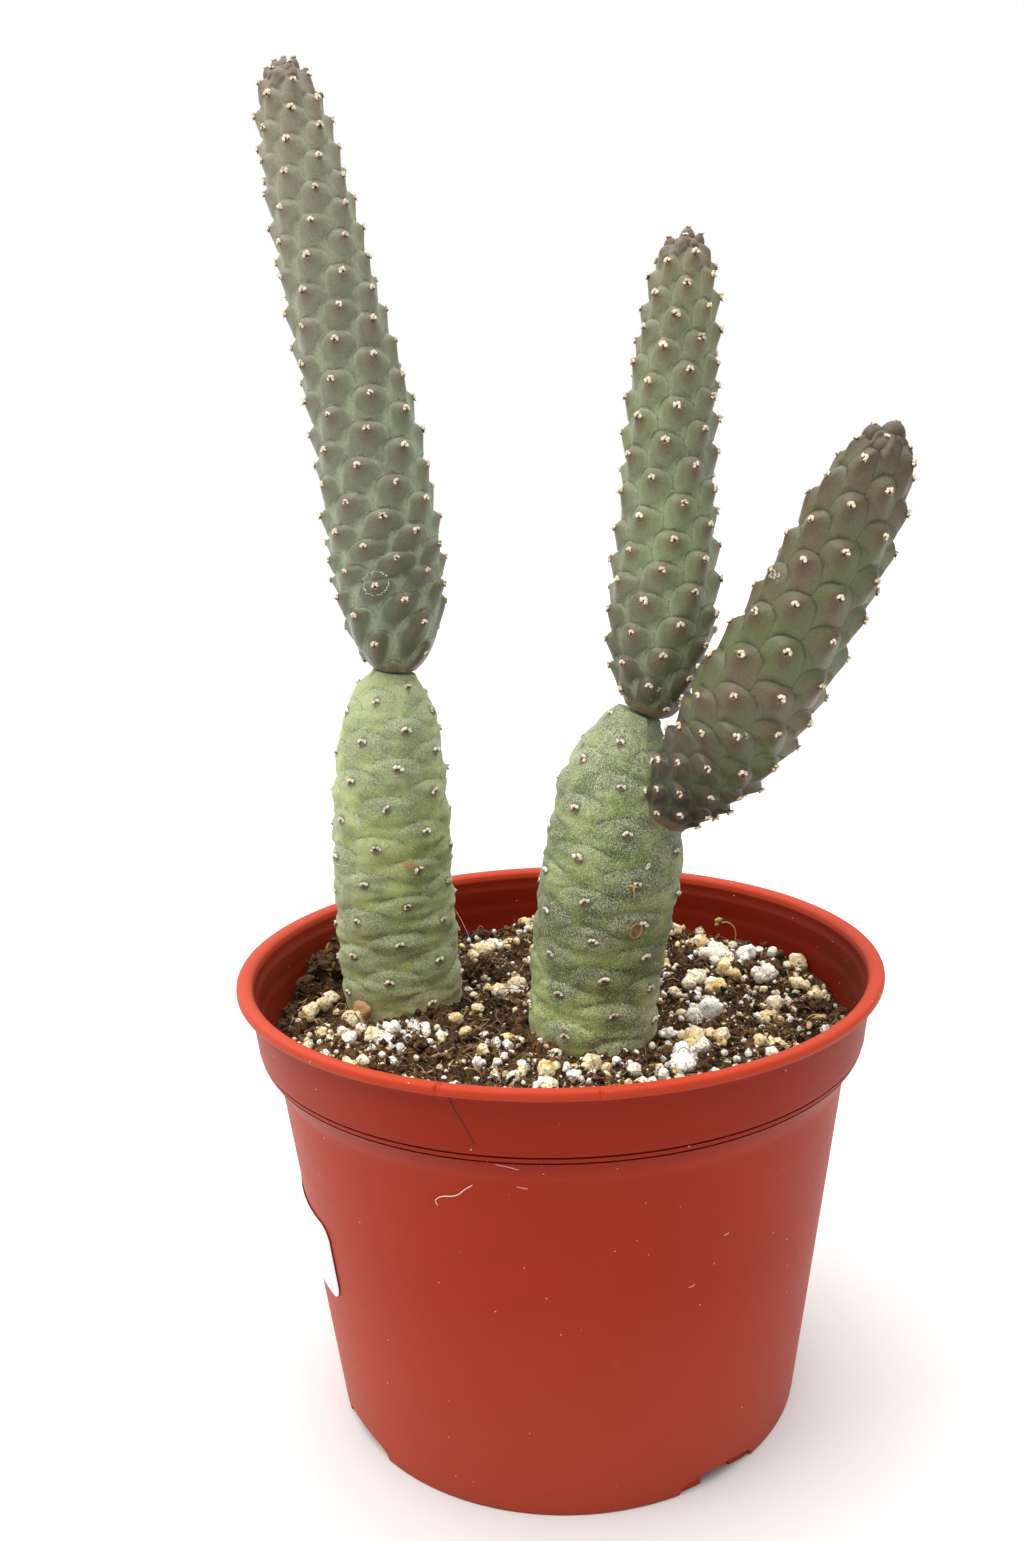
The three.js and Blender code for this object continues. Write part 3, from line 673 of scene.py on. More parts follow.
def stem_point(stem, s, angle, lift):
    """Points on a stem at distances, angles in degrees and lifts."""
    middle, radius, front, side, along = stem_frame(stem, s)
    turn = np.radians(angle)[..., None]
    outward = front * np.cos(turn) + side * np.sin(turn)
    # A young dome ends a little below the solid's, to leave room for its newest tubercles.
    sunk = 0 if stem["old"] else 2.6 * np.clip((s - stem["length"] + 9) / 9, 0, 1) ** 2
    return middle + outward * (radius + lift)[..., None] - along * np.atleast_1d(sunk)[..., None]


print("stem lengths:", {name: round(float(s["length"]), 1) for name, s in STEMS.items()})

# %% [markdown]
# ## Tubercles on a spiral
# A cactus of this kind is covered with tubercles, low swellings that each carry
# an areole, the little woolly pad that spines would grow from. They stand on a
# spiral: each is turned by about 136.5 degrees from the one before, and a little
# further up. Neighbours on the surface are 5 and 8 apart along the spiral.
#
# A tubercle reaches further down than up: its areole sits near the top, under a
# rounded hood. So for each point of the skin, every near tubercle gets a score
# that grows from 0 at its areole to 1 at its edge, faster above than below. The
# lowest score owns the point, and where two are equal there is a crease.

# %% Tubercle pattern
MM_PER_COUNT = 1.04
MEAN_RADIUS = 14.0


def twist_at(stem, s):
    """Extra turn near the foot, where the spiral is wound more tightly."""
    second, third, zone = stem["twist"]
    left = np.clip(1 - s / zone, 0, None)
    return second * left ** 2 + third * left ** 3


def score(stem, across, up):
    """0 at the areole and 1 at the tubercle's edge, and how far above it a point lies."""
    hood_width, tail_width, above, below = stem["shape"]
    tall = np.where(up > 0, up / above, up / below)
    lean = 0.5 + 0.5 * tall / np.maximum(np.hypot(across / tail_width, tall), 1e-6)
    blend = np.clip((lean - 0.25) / 0.5, 0, 1)
    blend = blend * blend * (3 - 2 * blend)
    reach = np.hypot(across / (tail_width + (hood_width - tail_width) * blend), tall)
    return reach ** (1 + 4 * lean ** 2), lean


def around_axis(angle, radius, s):
    """Places on a straight tube, for a noise to be read at."""
    turn = np.radians(angle)
    return np.stack([np.cos(turn) * radius, np.sin(turn) * radius, s], axis=-1).reshape(-1, 3)


def sway(s, angle):
    """The pattern isn't ruled with a compass: its places wander by half a millimetre."""
    spot = around_axis(angle, MEAN_RADIUS, s)
    up = 0.5 * lumpy(spot, 13.0, 7) + 0.3 * lumpy(spot, 5.0, 8)
    side = 0.6 * lumpy(spot, 12.0, 9) + 0.3 * lumpy(spot, 4.6, 10)
    return s + up.reshape(s.shape), angle + np.degrees(side.reshape(s.shape) / MEAN_RADIUS)


def unsway(s, angle):
    """The place that sway moves to a given one."""
    here_s, here_angle = s, angle
    for _ in range(4):
        there_s, there_angle = sway(here_s, here_angle)
        here_s, here_angle = here_s + s - there_s, here_angle + angle - there_angle
    return here_s, here_angle


def offsets(stem, s, angle, number):
    """Where points lie from a tubercle's areole, on a stem of mean size."""
    count = np.interp(s, stem["walk"], stem["walk_counts"])
    turn = angle - twist_at(stem, s) - stem["first"] - number * stem["turn"]
    turn = (turn + 180) % 360 - 180
    return np.radians(turn) * MEAN_RADIUS, (count - number) * MM_PER_COUNT


def tubercle_pattern(stem, s, angle):
    """For each point: distance to a crease and place in its tubercle."""
    s, angle = sway(s, angle)
    count = np.interp(s, stem["walk"], stem["walk_counts"])
    best = np.full(s.shape, 1e9)
    second = best.copy()
    owner, rival = np.zeros(s.shape), np.zeros(s.shape)
    for k in range(-15, 17):
        number = np.floor(count) + k
        value, _ = score(stem, *offsets(stem, s, angle, number))
        wins = value < best
        close = ~wins & (value < second)
        second = np.where(wins, best, np.where(close, value, second))
        rival = np.where(wins, owner, np.where(close, number, rival))
        owner = np.where(wins, number, owner)
        best = np.where(wins, value, best)

    def lead(s, angle):
        mine, _ = score(stem, *offsets(stem, s, angle, owner))
        theirs, _ = score(stem, *offsets(stem, s, angle, rival))
        return theirs - mine

    tiny = 0.25
    radius = np.maximum(radius_at(stem, s), 0.3)
    ahead = (lead(s + tiny, angle) - (second - best)) / tiny
    beside = (lead(s, angle + np.degrees(tiny / radius)) - (second - best)) / tiny
    crease = np.clip((second - best) / np.maximum(np.hypot(ahead, beside), 0.03), 0, 6)
    across, up = offsets(stem, s, angle, owner)
    _, my_lean = score(stem, across, up)
    _, rival_lean = score(stem, *offsets(stem, s, angle, rival))
    rate = np.interp(s + 0.5, stem["walk"], stem["walk_counts"]) - np.interp(
        s - 0.5, stem["walk"], stem["walk_counts"])
    size = np.sqrt(radius / np.maximum(rate, 0.1) / (MEAN_RADIUS * MM_PER_COUNT))
    hood = np.maximum(my_lean, rival_lean)
    return dict(crease=crease / size, across=across, up=up, hood=hood)


# %% [markdown]
# The height of the skin follows from that: a pillow that falls away at the
# crease, a rise round the areole and a small dimple in which its wool sits. Old
# segments have lower, wider tubercles, with creases only above the areoles, and
# their skin has sunk into soft folds that run round the stem.

# %% Skin height
def skin_lift(stem, s, angle, pattern):
    """How far the skin stands out from the tube."""
    across, up, crease = pattern["across"], pattern["up"], pattern["crease"]
    pillow = 1 - np.exp(-crease / stem["soft"])
    # The mound reaches 3.8 mm to a side, 2.8 above and 4.4 below its areole, the rise
    # round it 1.7 mm and the dimple 0.7 mm.
    slope = np.where(up > -0.4, 2.8, 4.4)
    mound = np.exp(-(across / 3.8) ** 2 - ((up + 0.4) / slope) ** 2)
    rise = np.exp(-(across ** 2 + (up + 0.2) ** 2) / 1.7 ** 2)
    dimple = np.exp(-(across ** 2 + up ** 2) / 0.7 ** 2)
    room = np.minimum(1, (stem["length"] - s) / 6 + 0.25)
    if not stem["old"]:
        foot = np.clip(s / 9, 0.2, 1)
        deep = 0.5 + 0.5 * np.clip((pattern["hood"] - 0.3) / 0.45, 0, 1)
        swelling = (1 - (1 - pillow) * deep) * (0.28 + 0.96 * mound)
        lift = -0.78 + swelling + 0.2 * rise - 0.08 * dimple
        return lift * stem["relief"] * room * foot
    # An old mound is 7 mm wide to a side, and its folds lie 2.4 mm apart.
    arch = np.clip((pattern["hood"] - 0.25) / 0.5, 0, 1)
    broad = np.exp(-(across / 7) ** 2 - ((up + 0.6) / 3.4) ** 2)
    lift = -0.36 + 0.5 * broad + 0.16 * rise - 0.3 * (1 - pillow) * arch - 0.1 * dimple
    ring = around_axis(angle, radius_at(stem, s), s * 4.2)
    folds = lumpy(ring, 10.0, 2).reshape(s.shape)
    lumps = lumpy(ring * (1, 1, 0.3), 11.0, 5).reshape(s.shape)
    return (lift * stem["relief"] + 0.5 * folds + 0.34 * lumps) * room


# %% [markdown]
# ## Stem meshes
# A fine grid of points, about 0.58 mm apart, runs round and up each segment. The
# pattern's numbers go with the points, so that the colours follow the shape:
# distance to the crease, place in the tubercle, and place on the stem. Scars are
# marked in the same way, as soft spots at a distance and an angle.

# %% Stem mesh builder
SPACING = 0.575
# On each segment: distance, angle, half width, half height and strength of each.
SCARS = {
    "left_lower_segment": [(62.5, 23, 2.6, 1.3, 1), (21.5, -36, 4.5, 2.5, 0.8), (19, 68, 6, 3, 0.6),
                           (46, 150, 3, 1.5, 1), (84, -140, 2.2, 2.2, 0.8)],
    "left_upper_segment": [(1.5, 5, 60, 2.2, 0.7)],
    "right_lower_segment": [(55.9, 23, 1.3, 2.1, 1.6), (34, 58, 5, 2.6, -1), (83.5, 38, 6, 3, 0.6),
                            (40, -160, 3, 2, 1), (26, -30, 3.4, 1.2, -0.6)],
    "right_upper_segment": [(1.2, 0, 60, 1.8, 1), (7.3, 5.5, 1.4, 0.8, -0.6),
                            (4.1, -7.5, 1.2, 0.7, -0.5)],
    "right_side_segment": [(1.5, -16, 16, 2.2, 1.1), (65.4, -66, 2.6, 1.6, -0.5),
                           (31.6, -1, 1.8, 1.2, -0.5)],
}


def build_stem(name, material, slot):
    """The skin of one segment, with the numbers that its colours need."""
    stem = STEMS[name]
    length = stem["length"]
    # What is under the soil needs no detail.
    start = 16 if stem["old"] else 0
    end_rows = length - np.array([2.4, 2.0, 1.6, 1.25, 0.95, 0.7, 0.48, 0.3, 0.15, 0.05])
    rows = np.r_[np.arange(start, end_rows[0] - 0.2, SPACING), end_rows]
    if stem["old"]:
        rows = np.r_[0, 4, 8, 12, rows]
    widest = max(station[3] for station in stem["stations"])
    columns = int(2 * math.pi * widest / SPACING)
    s, angle = np.meshgrid(rows, np.arange(columns) * 360 / columns - 180, indexing="ij")
    pattern = tubercle_pattern(stem, s, angle)
    lift = skin_lift(stem, s, angle, pattern)
    points = stem_point(stem, s, angle, lift).reshape(-1, 3)
    ends = stem_point(stem, np.array([0, 0, length, length]), np.array([0, 180, 0, 180]), 0)
    points = np.concatenate([points, [(ends[0] + ends[1]) / 2, (ends[2] + ends[3]) / 2]])
    radius, scar = radius_at(stem, s), np.zeros(s.shape)
    for at, where, half_width, half_height, strength in SCARS[name]:
        aside = np.radians((angle - where + 180) % 360 - 180) * radius
        scar += strength * np.exp(-(aside / half_width) ** 2 - ((s - at) / half_height) ** 2)
    values = dict(crease=pattern["crease"], across=pattern["across"], above=pattern["up"],
                  hood=pattern["hood"], scar=scar, share=s / length)
    flat = {key: np.r_[v.ravel(), v.ravel()[0], v.ravel()[-1]] for key, v in values.items()}
    faces = capped_faces(len(rows), columns)
    make_piece(name + "_skin", points, faces, material, slot, [name], **flat)


# %% [markdown]
# ## Young skin
# The skin of a young segment is a smooth, waxy epidermis, like soft leather. It
# is grey-green, with a paler bloom of wax in the creases, darker towards the
# foot, and with a purplish brown flush on and just below each areole and at the
# growing tip, where the sun reaches. Its hoods are paler with a painted
# highlight, and a thin line of painted shade runs in its creases. It isn't
# glossy, but has a soft shine that lightens its edges.

# %% Waxy young skin
SKIN_NUMBERS = ("crease", "across", "above", "hood", "scar", "share")


def young_skin(name, body, bloom, flush, line, strengths, foot, upper, upper_start, tip):
    """Strengths: bloom in creases, crease line, flush, foot and upper part."""
    in_folds, line_strength, flush_strength, foot_strength, upper_strength = strengths
    material, tree = new_material(name)
    crease, across, above, hood, scar, share = (
        add(tree, "Attribute", attribute_name=key).outputs["Fac"] for key in SKIN_NUMBERS)
    place = add(tree, "TexCoord").outputs["Object"]
    # Patches of greener and greyer skin are about 20 mm wide, clouds of wax 4 mm, and
    # the fine mottle of the wax has grains of about 0.3 mm.
    patch, cloud, speckle, fine = (
        add(tree, "TexNoise", {"Vector": place, "Scale": bumps, "Detail": detail})
        for bumps, detail in ((50.0, 3.0), (260.0, 4.0), (1500.0, 2.0), (2000.0, 3.0)))
    waver = add(tree, "Math", {0: patch, 1: 0.25, 2: share}, operation="MULTIPLY_ADD")
    # The squared distance to a spot 0.8 mm below the areole, made uneven.
    low = add(tree, "Math", {0: above, 1: 0.8}, operation="ADD")
    low_squared = add(tree, "Math", {0: low, 1: low}, operation="MULTIPLY")
    reach = add(tree, "Math", {0: across, 1: across, 2: low_squared}, operation="MULTIPLY_ADD")
    uneven = add(tree, "Math", {0: cloud, 1: 6.0, 2: reach}, operation="MULTIPLY_ADD")
    skin = layered(tree, colour(body[0]), [
        (body[1], (patch, 0.38, 0.62)),
        # The skin is darker towards the foot, for the first third of the stem.
        (foot, (waver, 0.12, 0.48, foot_strength, 0)),
        # Wax gathers within about 1.5 mm of a crease, in clouds.
        (bloom, (crease, 0.2, 1.9, in_folds, 0), (cloud, 0.34, 0.6)),
        # Wax has stayed in the valleys too, further than 4 mm from an areole.
        (bloom, (uneven, 16, 36, 0, in_folds * 0.75), (patch, 0.36, 0.56)),
        # A painted highlight pales the hoods, the part from 0.5 to 2.5 mm above the areole.
        (bloom, (above, 0.5, 2.3, 0, 0.5), (cloud, 0.4, 0.62)),
        # The brown flush is 3 to 4 mm wide.
        (flush, (uneven, 3, 14, flush_strength, 0)),
        # The upper part is greyer or browner, and the last millimetres are brown all over.
        (upper, (waver, upper_start, 1.13, 0, upper_strength)),
        (tip, (share, 0.88, 0.99, 0, 0.85)),
        # The crease's line is painted shade, 0.4 mm wide, plain over the hoods and faint at the
        # sides.
        (line, (crease, 0.05, 0.44, line_strength, 0), (hood, 0.3, 0.75, 0.3, 1)),
        # Scars: brown cork above zero, pale rubbed wax below.
        (0x75604a, (scar, 0.3, 0.95, 0, 0.75)),
        (0xb4b6a2, (scar, -0.15, -0.5), (speckle, 0.5, 0.6))])
    mottle = add(tree, "MapRange", {0: fine, 1: 0.3, 2: 0.7, 3: 0.88, 4: 1.1},
                 interpolation_type="SMOOTHSTEP")
    skin = add(tree, "Mix", {0: 1.0, 6: skin, 7: mottle}, data_type="RGBA", blend_type="MULTIPLY")
    bump = add(tree, "Bump", {"Strength": 0.3, "Distance": 0.0003, "Height": fine})
    surface = add(tree, "BsdfPrincipled", {
        "Base Color": skin, "Roughness": 0.46, "IOR": 1.42, "Sheen Weight": 0.08,
        "Sheen Roughness": 0.5, "Normal": bump})
    add(tree, "OutputMaterial", {0: surface})
    return material


YOUNG_SKINS = {
    "left_upper_segment": young_skin(
        "waxy_epidermis_grey_green", (0x6e705a, 0x6c7458), 0x98a283, 0x675848, 0x4c5742,
        (0.65, 0.3, 0.7, 0.85, 0.6), 0x424930, 0x918b76, 0.5, 0x5c4434),
    "right_upper_segment": young_skin(
        "waxy_epidermis_olive", (0x6c7055, 0x727b57), 0x8f9978, 0x66563f, 0x434f38,
        (0.55, 0.5, 0.8, 0.85, 0.4), 0x42402a, 0x7c7257, 0.7, 0x574030),
    "right_side_segment": young_skin(
        "waxy_epidermis_mauve_green", (0x61553f, 0x555e38), 0x5f6a48, 0x544030, 0x2c3823,
        (0.25, 0.85, 0.75, 1.0, 0.5), 0x1e160f, 0x4b432a, 0.74, 0x463424),
}
for stem_name, skin_material in YOUNG_SKINS.items():
    build_stem(stem_name, skin_material, "young_stem")

# %% [markdown]
# ## Old skin
# The old segments have thick skin, yellow-green in soft patches below each
# areole and grey-green above it. A mealy scurf of dead skin has formed on it:
# pale grains a third of a millimetre wide, thickest round the areoles and at the
# hoods, with dark pits between them. Such a mealy skin scatters light, so its
# edges look pale. Thin dark arcs of painted shade mark the creases above the
# areoles, and the lower third is painted lighter, as light from the floor and
# the soil.

# %% Scurfy old skin
def old_skin(name, greens, grey, veil, scurf, dark, amount, depth, low_gain):
    """Amount: how much scurf there is. Depth: how dark its pits and how white its grains are."""
    material, tree = new_material(name)
    crease, across, above, hood, scar, share = (
        add(tree, "Attribute", attribute_name=key).outputs["Fac"] for key in SKIN_NUMBERS)
    place = add(tree, "TexCoord").outputs["Object"]
    # From broad patches 20 mm wide to grains of scurf, 0.35 mm wide, which are drawn a
    # little coarser than real so that they show, and the pits between them.
    broad, patch, blotch, grains, pits = (
        add(tree, "TexNoise",
            {"Vector": place, "Scale": bumps, "Detail": detail, "Roughness": rough})
        for bumps, detail, rough in ((45.0, 2.0, 0.5), (90.0, 3.0, 0.5), (260.0, 5.0, 0.65),
                                     (2800.0, 2.0, 0.6), (2000.0, 3.0, 0.5)))
    # Green flesh shows below an areole, in soft and very uneven patches.
    below = add(tree, "Math", {0: blotch, 1: -18.0, 2: above}, operation="MULTIPLY_ADD")
    below = add(tree, "Math", {0: broad, 1: -22.0, 2: below}, operation="MULTIPLY_ADD")
    bare = add(tree, "MapRange", {0: below, 1: -16.2, 2: -25.6}, interpolation_type="SMOOTHSTEP")
    fresh = layered(tree, colour(greens[0]), [(greens[1], (patch, 0.4, 0.6))])
    skin = add(tree, "Mix", {0: bare, 6: colour(grey), 7: fresh}, data_type="RGBA")
    lifted = add(tree, "Math", {0: share, 1: 0.16, 2: patch}, operation="MULTIPLY_ADD")
    # Scurf lies thinner where the flesh is bare.
    thick = add(tree, "Math", {0: bare, 1: -0.045, 2: amount}, operation="MULTIPLY_ADD")
    clumped = add(tree, "Math", {0: blotch, 1: 0.3, 2: thick}, operation="MULTIPLY_ADD")
    level = add(tree, "Math", {0: grains, 1: clumped}, operation="ADD")
    across_squared, above_squared = (
        add(tree, "Math", {0: offset, 1: offset}, operation="MULTIPLY")
        for offset in (across, above))
    reach = add(tree, "Math", {0: across_squared, 1: above_squared}, operation="ADD")
    uneven_foot = add(tree, "Math", {0: blotch, 1: 0.12, 2: share}, operation="MULTIPLY_ADD")
    skin = layered(tree, skin, [
        # A pale veil lies over it in clouds about 12 mm wide, more towards the top.
        (veil, (lifted, 0.5, 0.8, 0, 0.45)),
        (veil, (share, 0.82, 0.97, 0, 0.38)),
        # The arcs are painted shade in the creases, up to 0.6 mm wide, broken, and only above the
        # areoles.
        (dark, (hood, 0.45, 0.85), (crease, 0.05, 0.55, 0.75, 0), (blotch, 0.4, 0.56, 0.15, 1)),
        # Grains of scurf, and the pits between them.
        (scurf, (level, 0.6, 0.82, 0, depth)),
        (dark, (pits, 0.5, 0.34, 0, depth), (bare, 0, 1, 1, 0.5)),
        # A dark spot of shade and dirt lies round each areole, 2.5 mm wide.
        (dark, (reach, 0.6, 2.6, 0.6, 0)),
        # Near the soil the skin turns corky and brown.
        (0x7d6c47, (uneven_foot, 0.24, 0.33, 0.7, 0))])
    # Painted light: the lower third is brightened, as light from the floor and the soil.
    gain = add(tree, "MapRange", {0: share, 1: 0.15, 2: 0.5, 3: low_gain, 4: 1.0},
               interpolation_type="SMOOTHSTEP")
    skin = add(tree, "Mix", {0: 1.0, 6: skin, 7: gain}, data_type="RGBA", blend_type="MULTIPLY")
    # Scars: brown cork above zero, chalky skin below.
    skin = layered(tree, skin, [
        (0x93683a, (scar, 0.3, 0.9, 0, 0.85)),
        (0xc3c7bd, (scar, -0.2, -0.7), (grains, 0.45, 0.56))])
    rough_height = add(tree, "Math", {0: level, 1: 0.6, 2: blotch}, operation="MULTIPLY_ADD")
    bump = add(tree, "Bump", {"Strength": 0.6, "Distance": 0.0004, "Height": rough_height})
    surface = add(tree, "BsdfPrincipled", {
        "Base Color": skin, "Roughness": 0.65, "IOR": 1.42, "Sheen Weight": 0.25,
        "Sheen Roughness": 0.45, "Sheen Tint": colour(0xe9ecdf), "Normal": bump})
    add(tree, "OutputMaterial", {0: surface})
    return material


left_old = old_skin("scurfy_epidermis_yellow_green", (0x7f914b, 0xa6b55b), 0x808a60, 0x9fa782,
                    0xc0c6a8, 0x525c3c, 0.045, 0.52, 1.25)
right_old = old_skin("scurfy_epidermis_grey_green", (0x566c28, 0x85993c), 0x606845, 0x969b78,
                     0xbdc2a6, 0x363e24, 0.04, 0.68, 1.65)
build_stem("left_lower_segment", left_old, "old_stem")
build_stem("right_lower_segment", right_old, "old_stem")

# %% [markdown]
# ## Areoles
# An areole is a ring of short wool tufts, about 2 mm across, cream above and
# brown below, round a small dark heart, with a few glochids, tiny barbed
# bristles, standing out of it. On old skin it is wider than tall. Six different
# ones are made once, and then set on every tubercle with its own turn and size.

# %% One areole
def ball(detail):
    """Points and triangles of a round ball made from an icosahedron."""
    shape = bmesh.new()
    bmesh.ops.create_icosphere(shape, subdivisions=detail, radius=1)
    points = np.array([v.co[:] for v in shape.verts])
    faces = [[v.index for v in f.verts] for f in shape.faces]
    shape.free()
    return points, faces


THIRD_TURN = 2.0944


def cone(start, direction, length, width):
    """A three-sided hair with a closed foot."""
    helper = np.array([0.3, 0.9, 0.2]) if abs(direction[1]) < 0.8 else np.array([0.9, 0.1, 0.3])
    side = unit(np.cross(direction, helper))
    other = np.cross(direction, side)
    foot = [start + (side * math.cos(a) + other * math.sin(a)) * width
            for a in (0, THIRD_TURN, 2 * THIRD_TURN)]
    faces = [(0, 2, 1), (0, 1, 3), (1, 2, 3), (2, 0, 3)]
    return np.array(foot + [start + direction * length]), faces


def areole(seed, old):
    """Points, faces and paleness of one areole. Y is up the stem, Z outward."""
    dice = np.random.default_rng(seed)
    wide, tall = (0.66, 0.36) if old else (0.46, 0.5)
    heart, heart_faces = ball(1)
    parts = [(heart * (wide * 1.15, tall * 1.15, 0.3), heart_faces)]
    pale = [np.full(len(heart), 0.1)]
    tufts = 8
    for i in range(tufts):
        a = (i + dice.uniform(-0.35, 0.35)) * 2 * math.pi / tufts
        upper = math.sin(a) > -0.45
        size = dice.uniform(0.22, 0.36) if upper else dice.uniform(0.14, 0.22)
        bumps = 1 + 0.25 * dice.standard_normal((len(heart), 1))
        centre = (math.cos(a) * wide, math.sin(a) * tall + 0.05, 0.16 + 0.1 * dice.uniform())
        stretch = size * dice.uniform(0.8, 1.3, 3)
        parts.append((heart * bumps * stretch + centre, heart_faces))
        tone = dice.uniform(0.72, 1.0) if upper else dice.uniform(0.1, 0.45)
        pale.append(np.full(len(heart), tone * (0.95 if old else 1)))
    for _ in range(16):
        a = dice.uniform(0, 2 * math.pi)
        start = np.array([math.cos(a) * wide, math.sin(a) * tall + 0.05, 0.2])
        lean = np.array([math.cos(a) * 0.8, math.sin(a) * 0.8, 0.6]) + 0.3 * dice.standard_normal(3)
        parts.append(cone(start, unit(lean), dice.uniform(0.3, 0.6), 0.09))
        pale.append(np.full(4, dice.uniform(0.55, 1.0) if math.sin(a) > -0.3 else 0.3))
    # Glochids, golden and a little longer, hang or stand out.
    for _ in range(3 if old else 5):
        a = dice.uniform(0, 2 * math.pi)
        lean = np.array([math.cos(a) * 0.7, math.sin(a) * 0.7 - 0.2, 0.7])
        start = np.array([math.cos(a) * 0.3, math.sin(a) * 0.3, 0.1])
        parts.append(cone(start, unit(lean), dice.uniform(0.8, 1.3), 0.05))
        pale.append(np.array([0.4, 0.4, 0.4, 0.75]))
    return (*joined(parts), np.concatenate(pale))


KINDS = {old: [areole(11 + i, old) for i in range(6)] for old in (False, True)}
print("faces of one areole:", len(KINDS[False][0][1]))


# %% Set the areoles on their tubercles
def set_areoles(name, material, slot):
    """One of the six areoles on each tubercle of a segment, turned and sized at random."""
    stem = STEMS[name]
    dice = np.random.default_rng(len(name))
    low = 17.5 if stem["old"] else 1.5
    high = stem["length"] - (0.4 if stem["old"] else 5.2)
    count_at = np.interp([low, high], stem["walk"], stem["walk_counts"])
    numbers = np.arange(math.ceil(count_at[0]), math.floor(count_at[1]) + 1)
    s = np.interp(numbers, stem["walk_counts"], stem["walk"])
    angle = stem["first"] + numbers * stem["turn"] + twist_at(stem, s)
    s, angle = unsway(s, (angle + 180) % 360 - 180)
    s = np.minimum(s, stem["length"] - 0.2)
    pattern = tubercle_pattern(stem, s, angle)
    base = stem_point(stem, s, angle, skin_lift(stem, s, angle, pattern) - 0.02)
    ahead, beside = (
        unit(stem_point(stem, s + up, angle + turn, s * 0)
             - stem_point(stem, s - up, angle - turn, s * 0)) for up, turn in ((0.4, 0), (0, 2)))
    outward = np.cross(beside, ahead)
    parts, pale = [], []
    for i in range(len(numbers)):
        points, faces, tones = KINDS[stem["old"]][dice.integers(6)]
        spin = dice.normal(0, 0.3)
        scale = dice.uniform(1.05, 1.45) * (1.08 if stem["old"] else 1.0)
        scale *= 0.85 + 0.15 * min(1, (stem["length"] - s[i]) / 12)
        x = (points[:, 0] * math.cos(spin) - points[:, 1] * math.sin(spin)) * scale
        y = (points[:, 0] * math.sin(spin) + points[:, 1] * math.cos(spin)) * scale
        moved = (base[i] + x[:, None] * beside[i] + y[:, None] * ahead[i]
                 + points[:, 2:] * scale * outward[i])
        parts.append((moved, faces))
        pale.append(tones * dice.uniform(0.8, 1))
    points, faces = joined(parts)
    make_piece(name + "_areoles", points, faces, material, slot, pale=np.concatenate(pale))


def wool(name, heart, middle, outside):
    """Wool that is brown at an areole's heart and cream outside."""
    material, tree = new_material(name)
    pale = add(tree, "Attribute", attribute_name="pale").outputs["Fac"]
    place = add(tree, "TexCoord").outputs["Object"]
    tuft = add(tree, "TexNoise", {"Vector": place, "Scale": 1300.0, "Detail": 3.0})
    uneven = add(tree, "Math", {0: tuft, 1: 0.5, 2: pale}, operation="MULTIPLY_ADD")
    tone = layered(tree, colour(heart), [
        (tint, add(tree, "MapRange", {0: uneven, 1: start, 2: end}))
        for tint, start, end in ((middle, 0.35, 0.75), (outside, 0.75, 1.05))])
    surface = add(tree, "BsdfPrincipled", {
        "Base Color": tone, "Roughness": 0.85, "Sheen Weight": 0.2})
    add(tree, "OutputMaterial", {0: surface})
    return material


cream_wool = wool("areole_wool_cream", 0x33221a, 0xb09468, 0xf3e6cb)
scabby_wool = wool("areole_wool_weathered", 0x553e2e, 0xb09878, 0xf3ead9)
for stem_name in STEMS:
    is_old = STEMS[stem_name]["old"]
    set_areoles(stem_name, scabby_wool if is_old else cream_wool,
                "old_stem" if is_old else "young_stem")

# %% [markdown]
# ## Growing tips
# At the tip of a young segment the newest tubercles haven't spread yet. They
# stand up like finger ends round the middle, 4 to 6 mm wide, each with a tuft on
# its top. They are listed one by one: the angle round the stem, how far out and
# how far below the tip the top lies, and the width.

# %% Crowns
CROWNS = {
    "left_upper_segment": [(180, 1.0, 0.5, 4.4), (105, 2.6, 0.8, 3.8), (-115, 2.6, 1.0, 3.8),
                           (35, 3.2, 2.6, 4.4), (-45, 3.8, 3.7, 4.8), (-95, 4.5, 2.7, 4.0),
                           (150, 4.2, 3.2, 4.4), (-155, 4.4, 3.9, 4.6), (92, 5.2, 3.8, 4.2)],
    "right_upper_segment": [(170, 0.9, 0.2, 4.2), (80, 3.1, 1.7, 3.8), (-15, 2.7, 2.5, 5.0),
                            (-88, 4.2, 2.9, 4.2), (145, 3.5, 2.8, 4.4), (-150, 3.8, 3.4, 4.4)],
    "right_side_segment": [(140, 1.2, 0.4, 6.2), (-100, 4.2, 2.4, 5.8), (-20, 3.7, 3.8, 6.8),
                           (160, 4.2, 3.6, 5.6), (75, 5.0, 4.6, 5.4)],
}
FINGER = 8.0


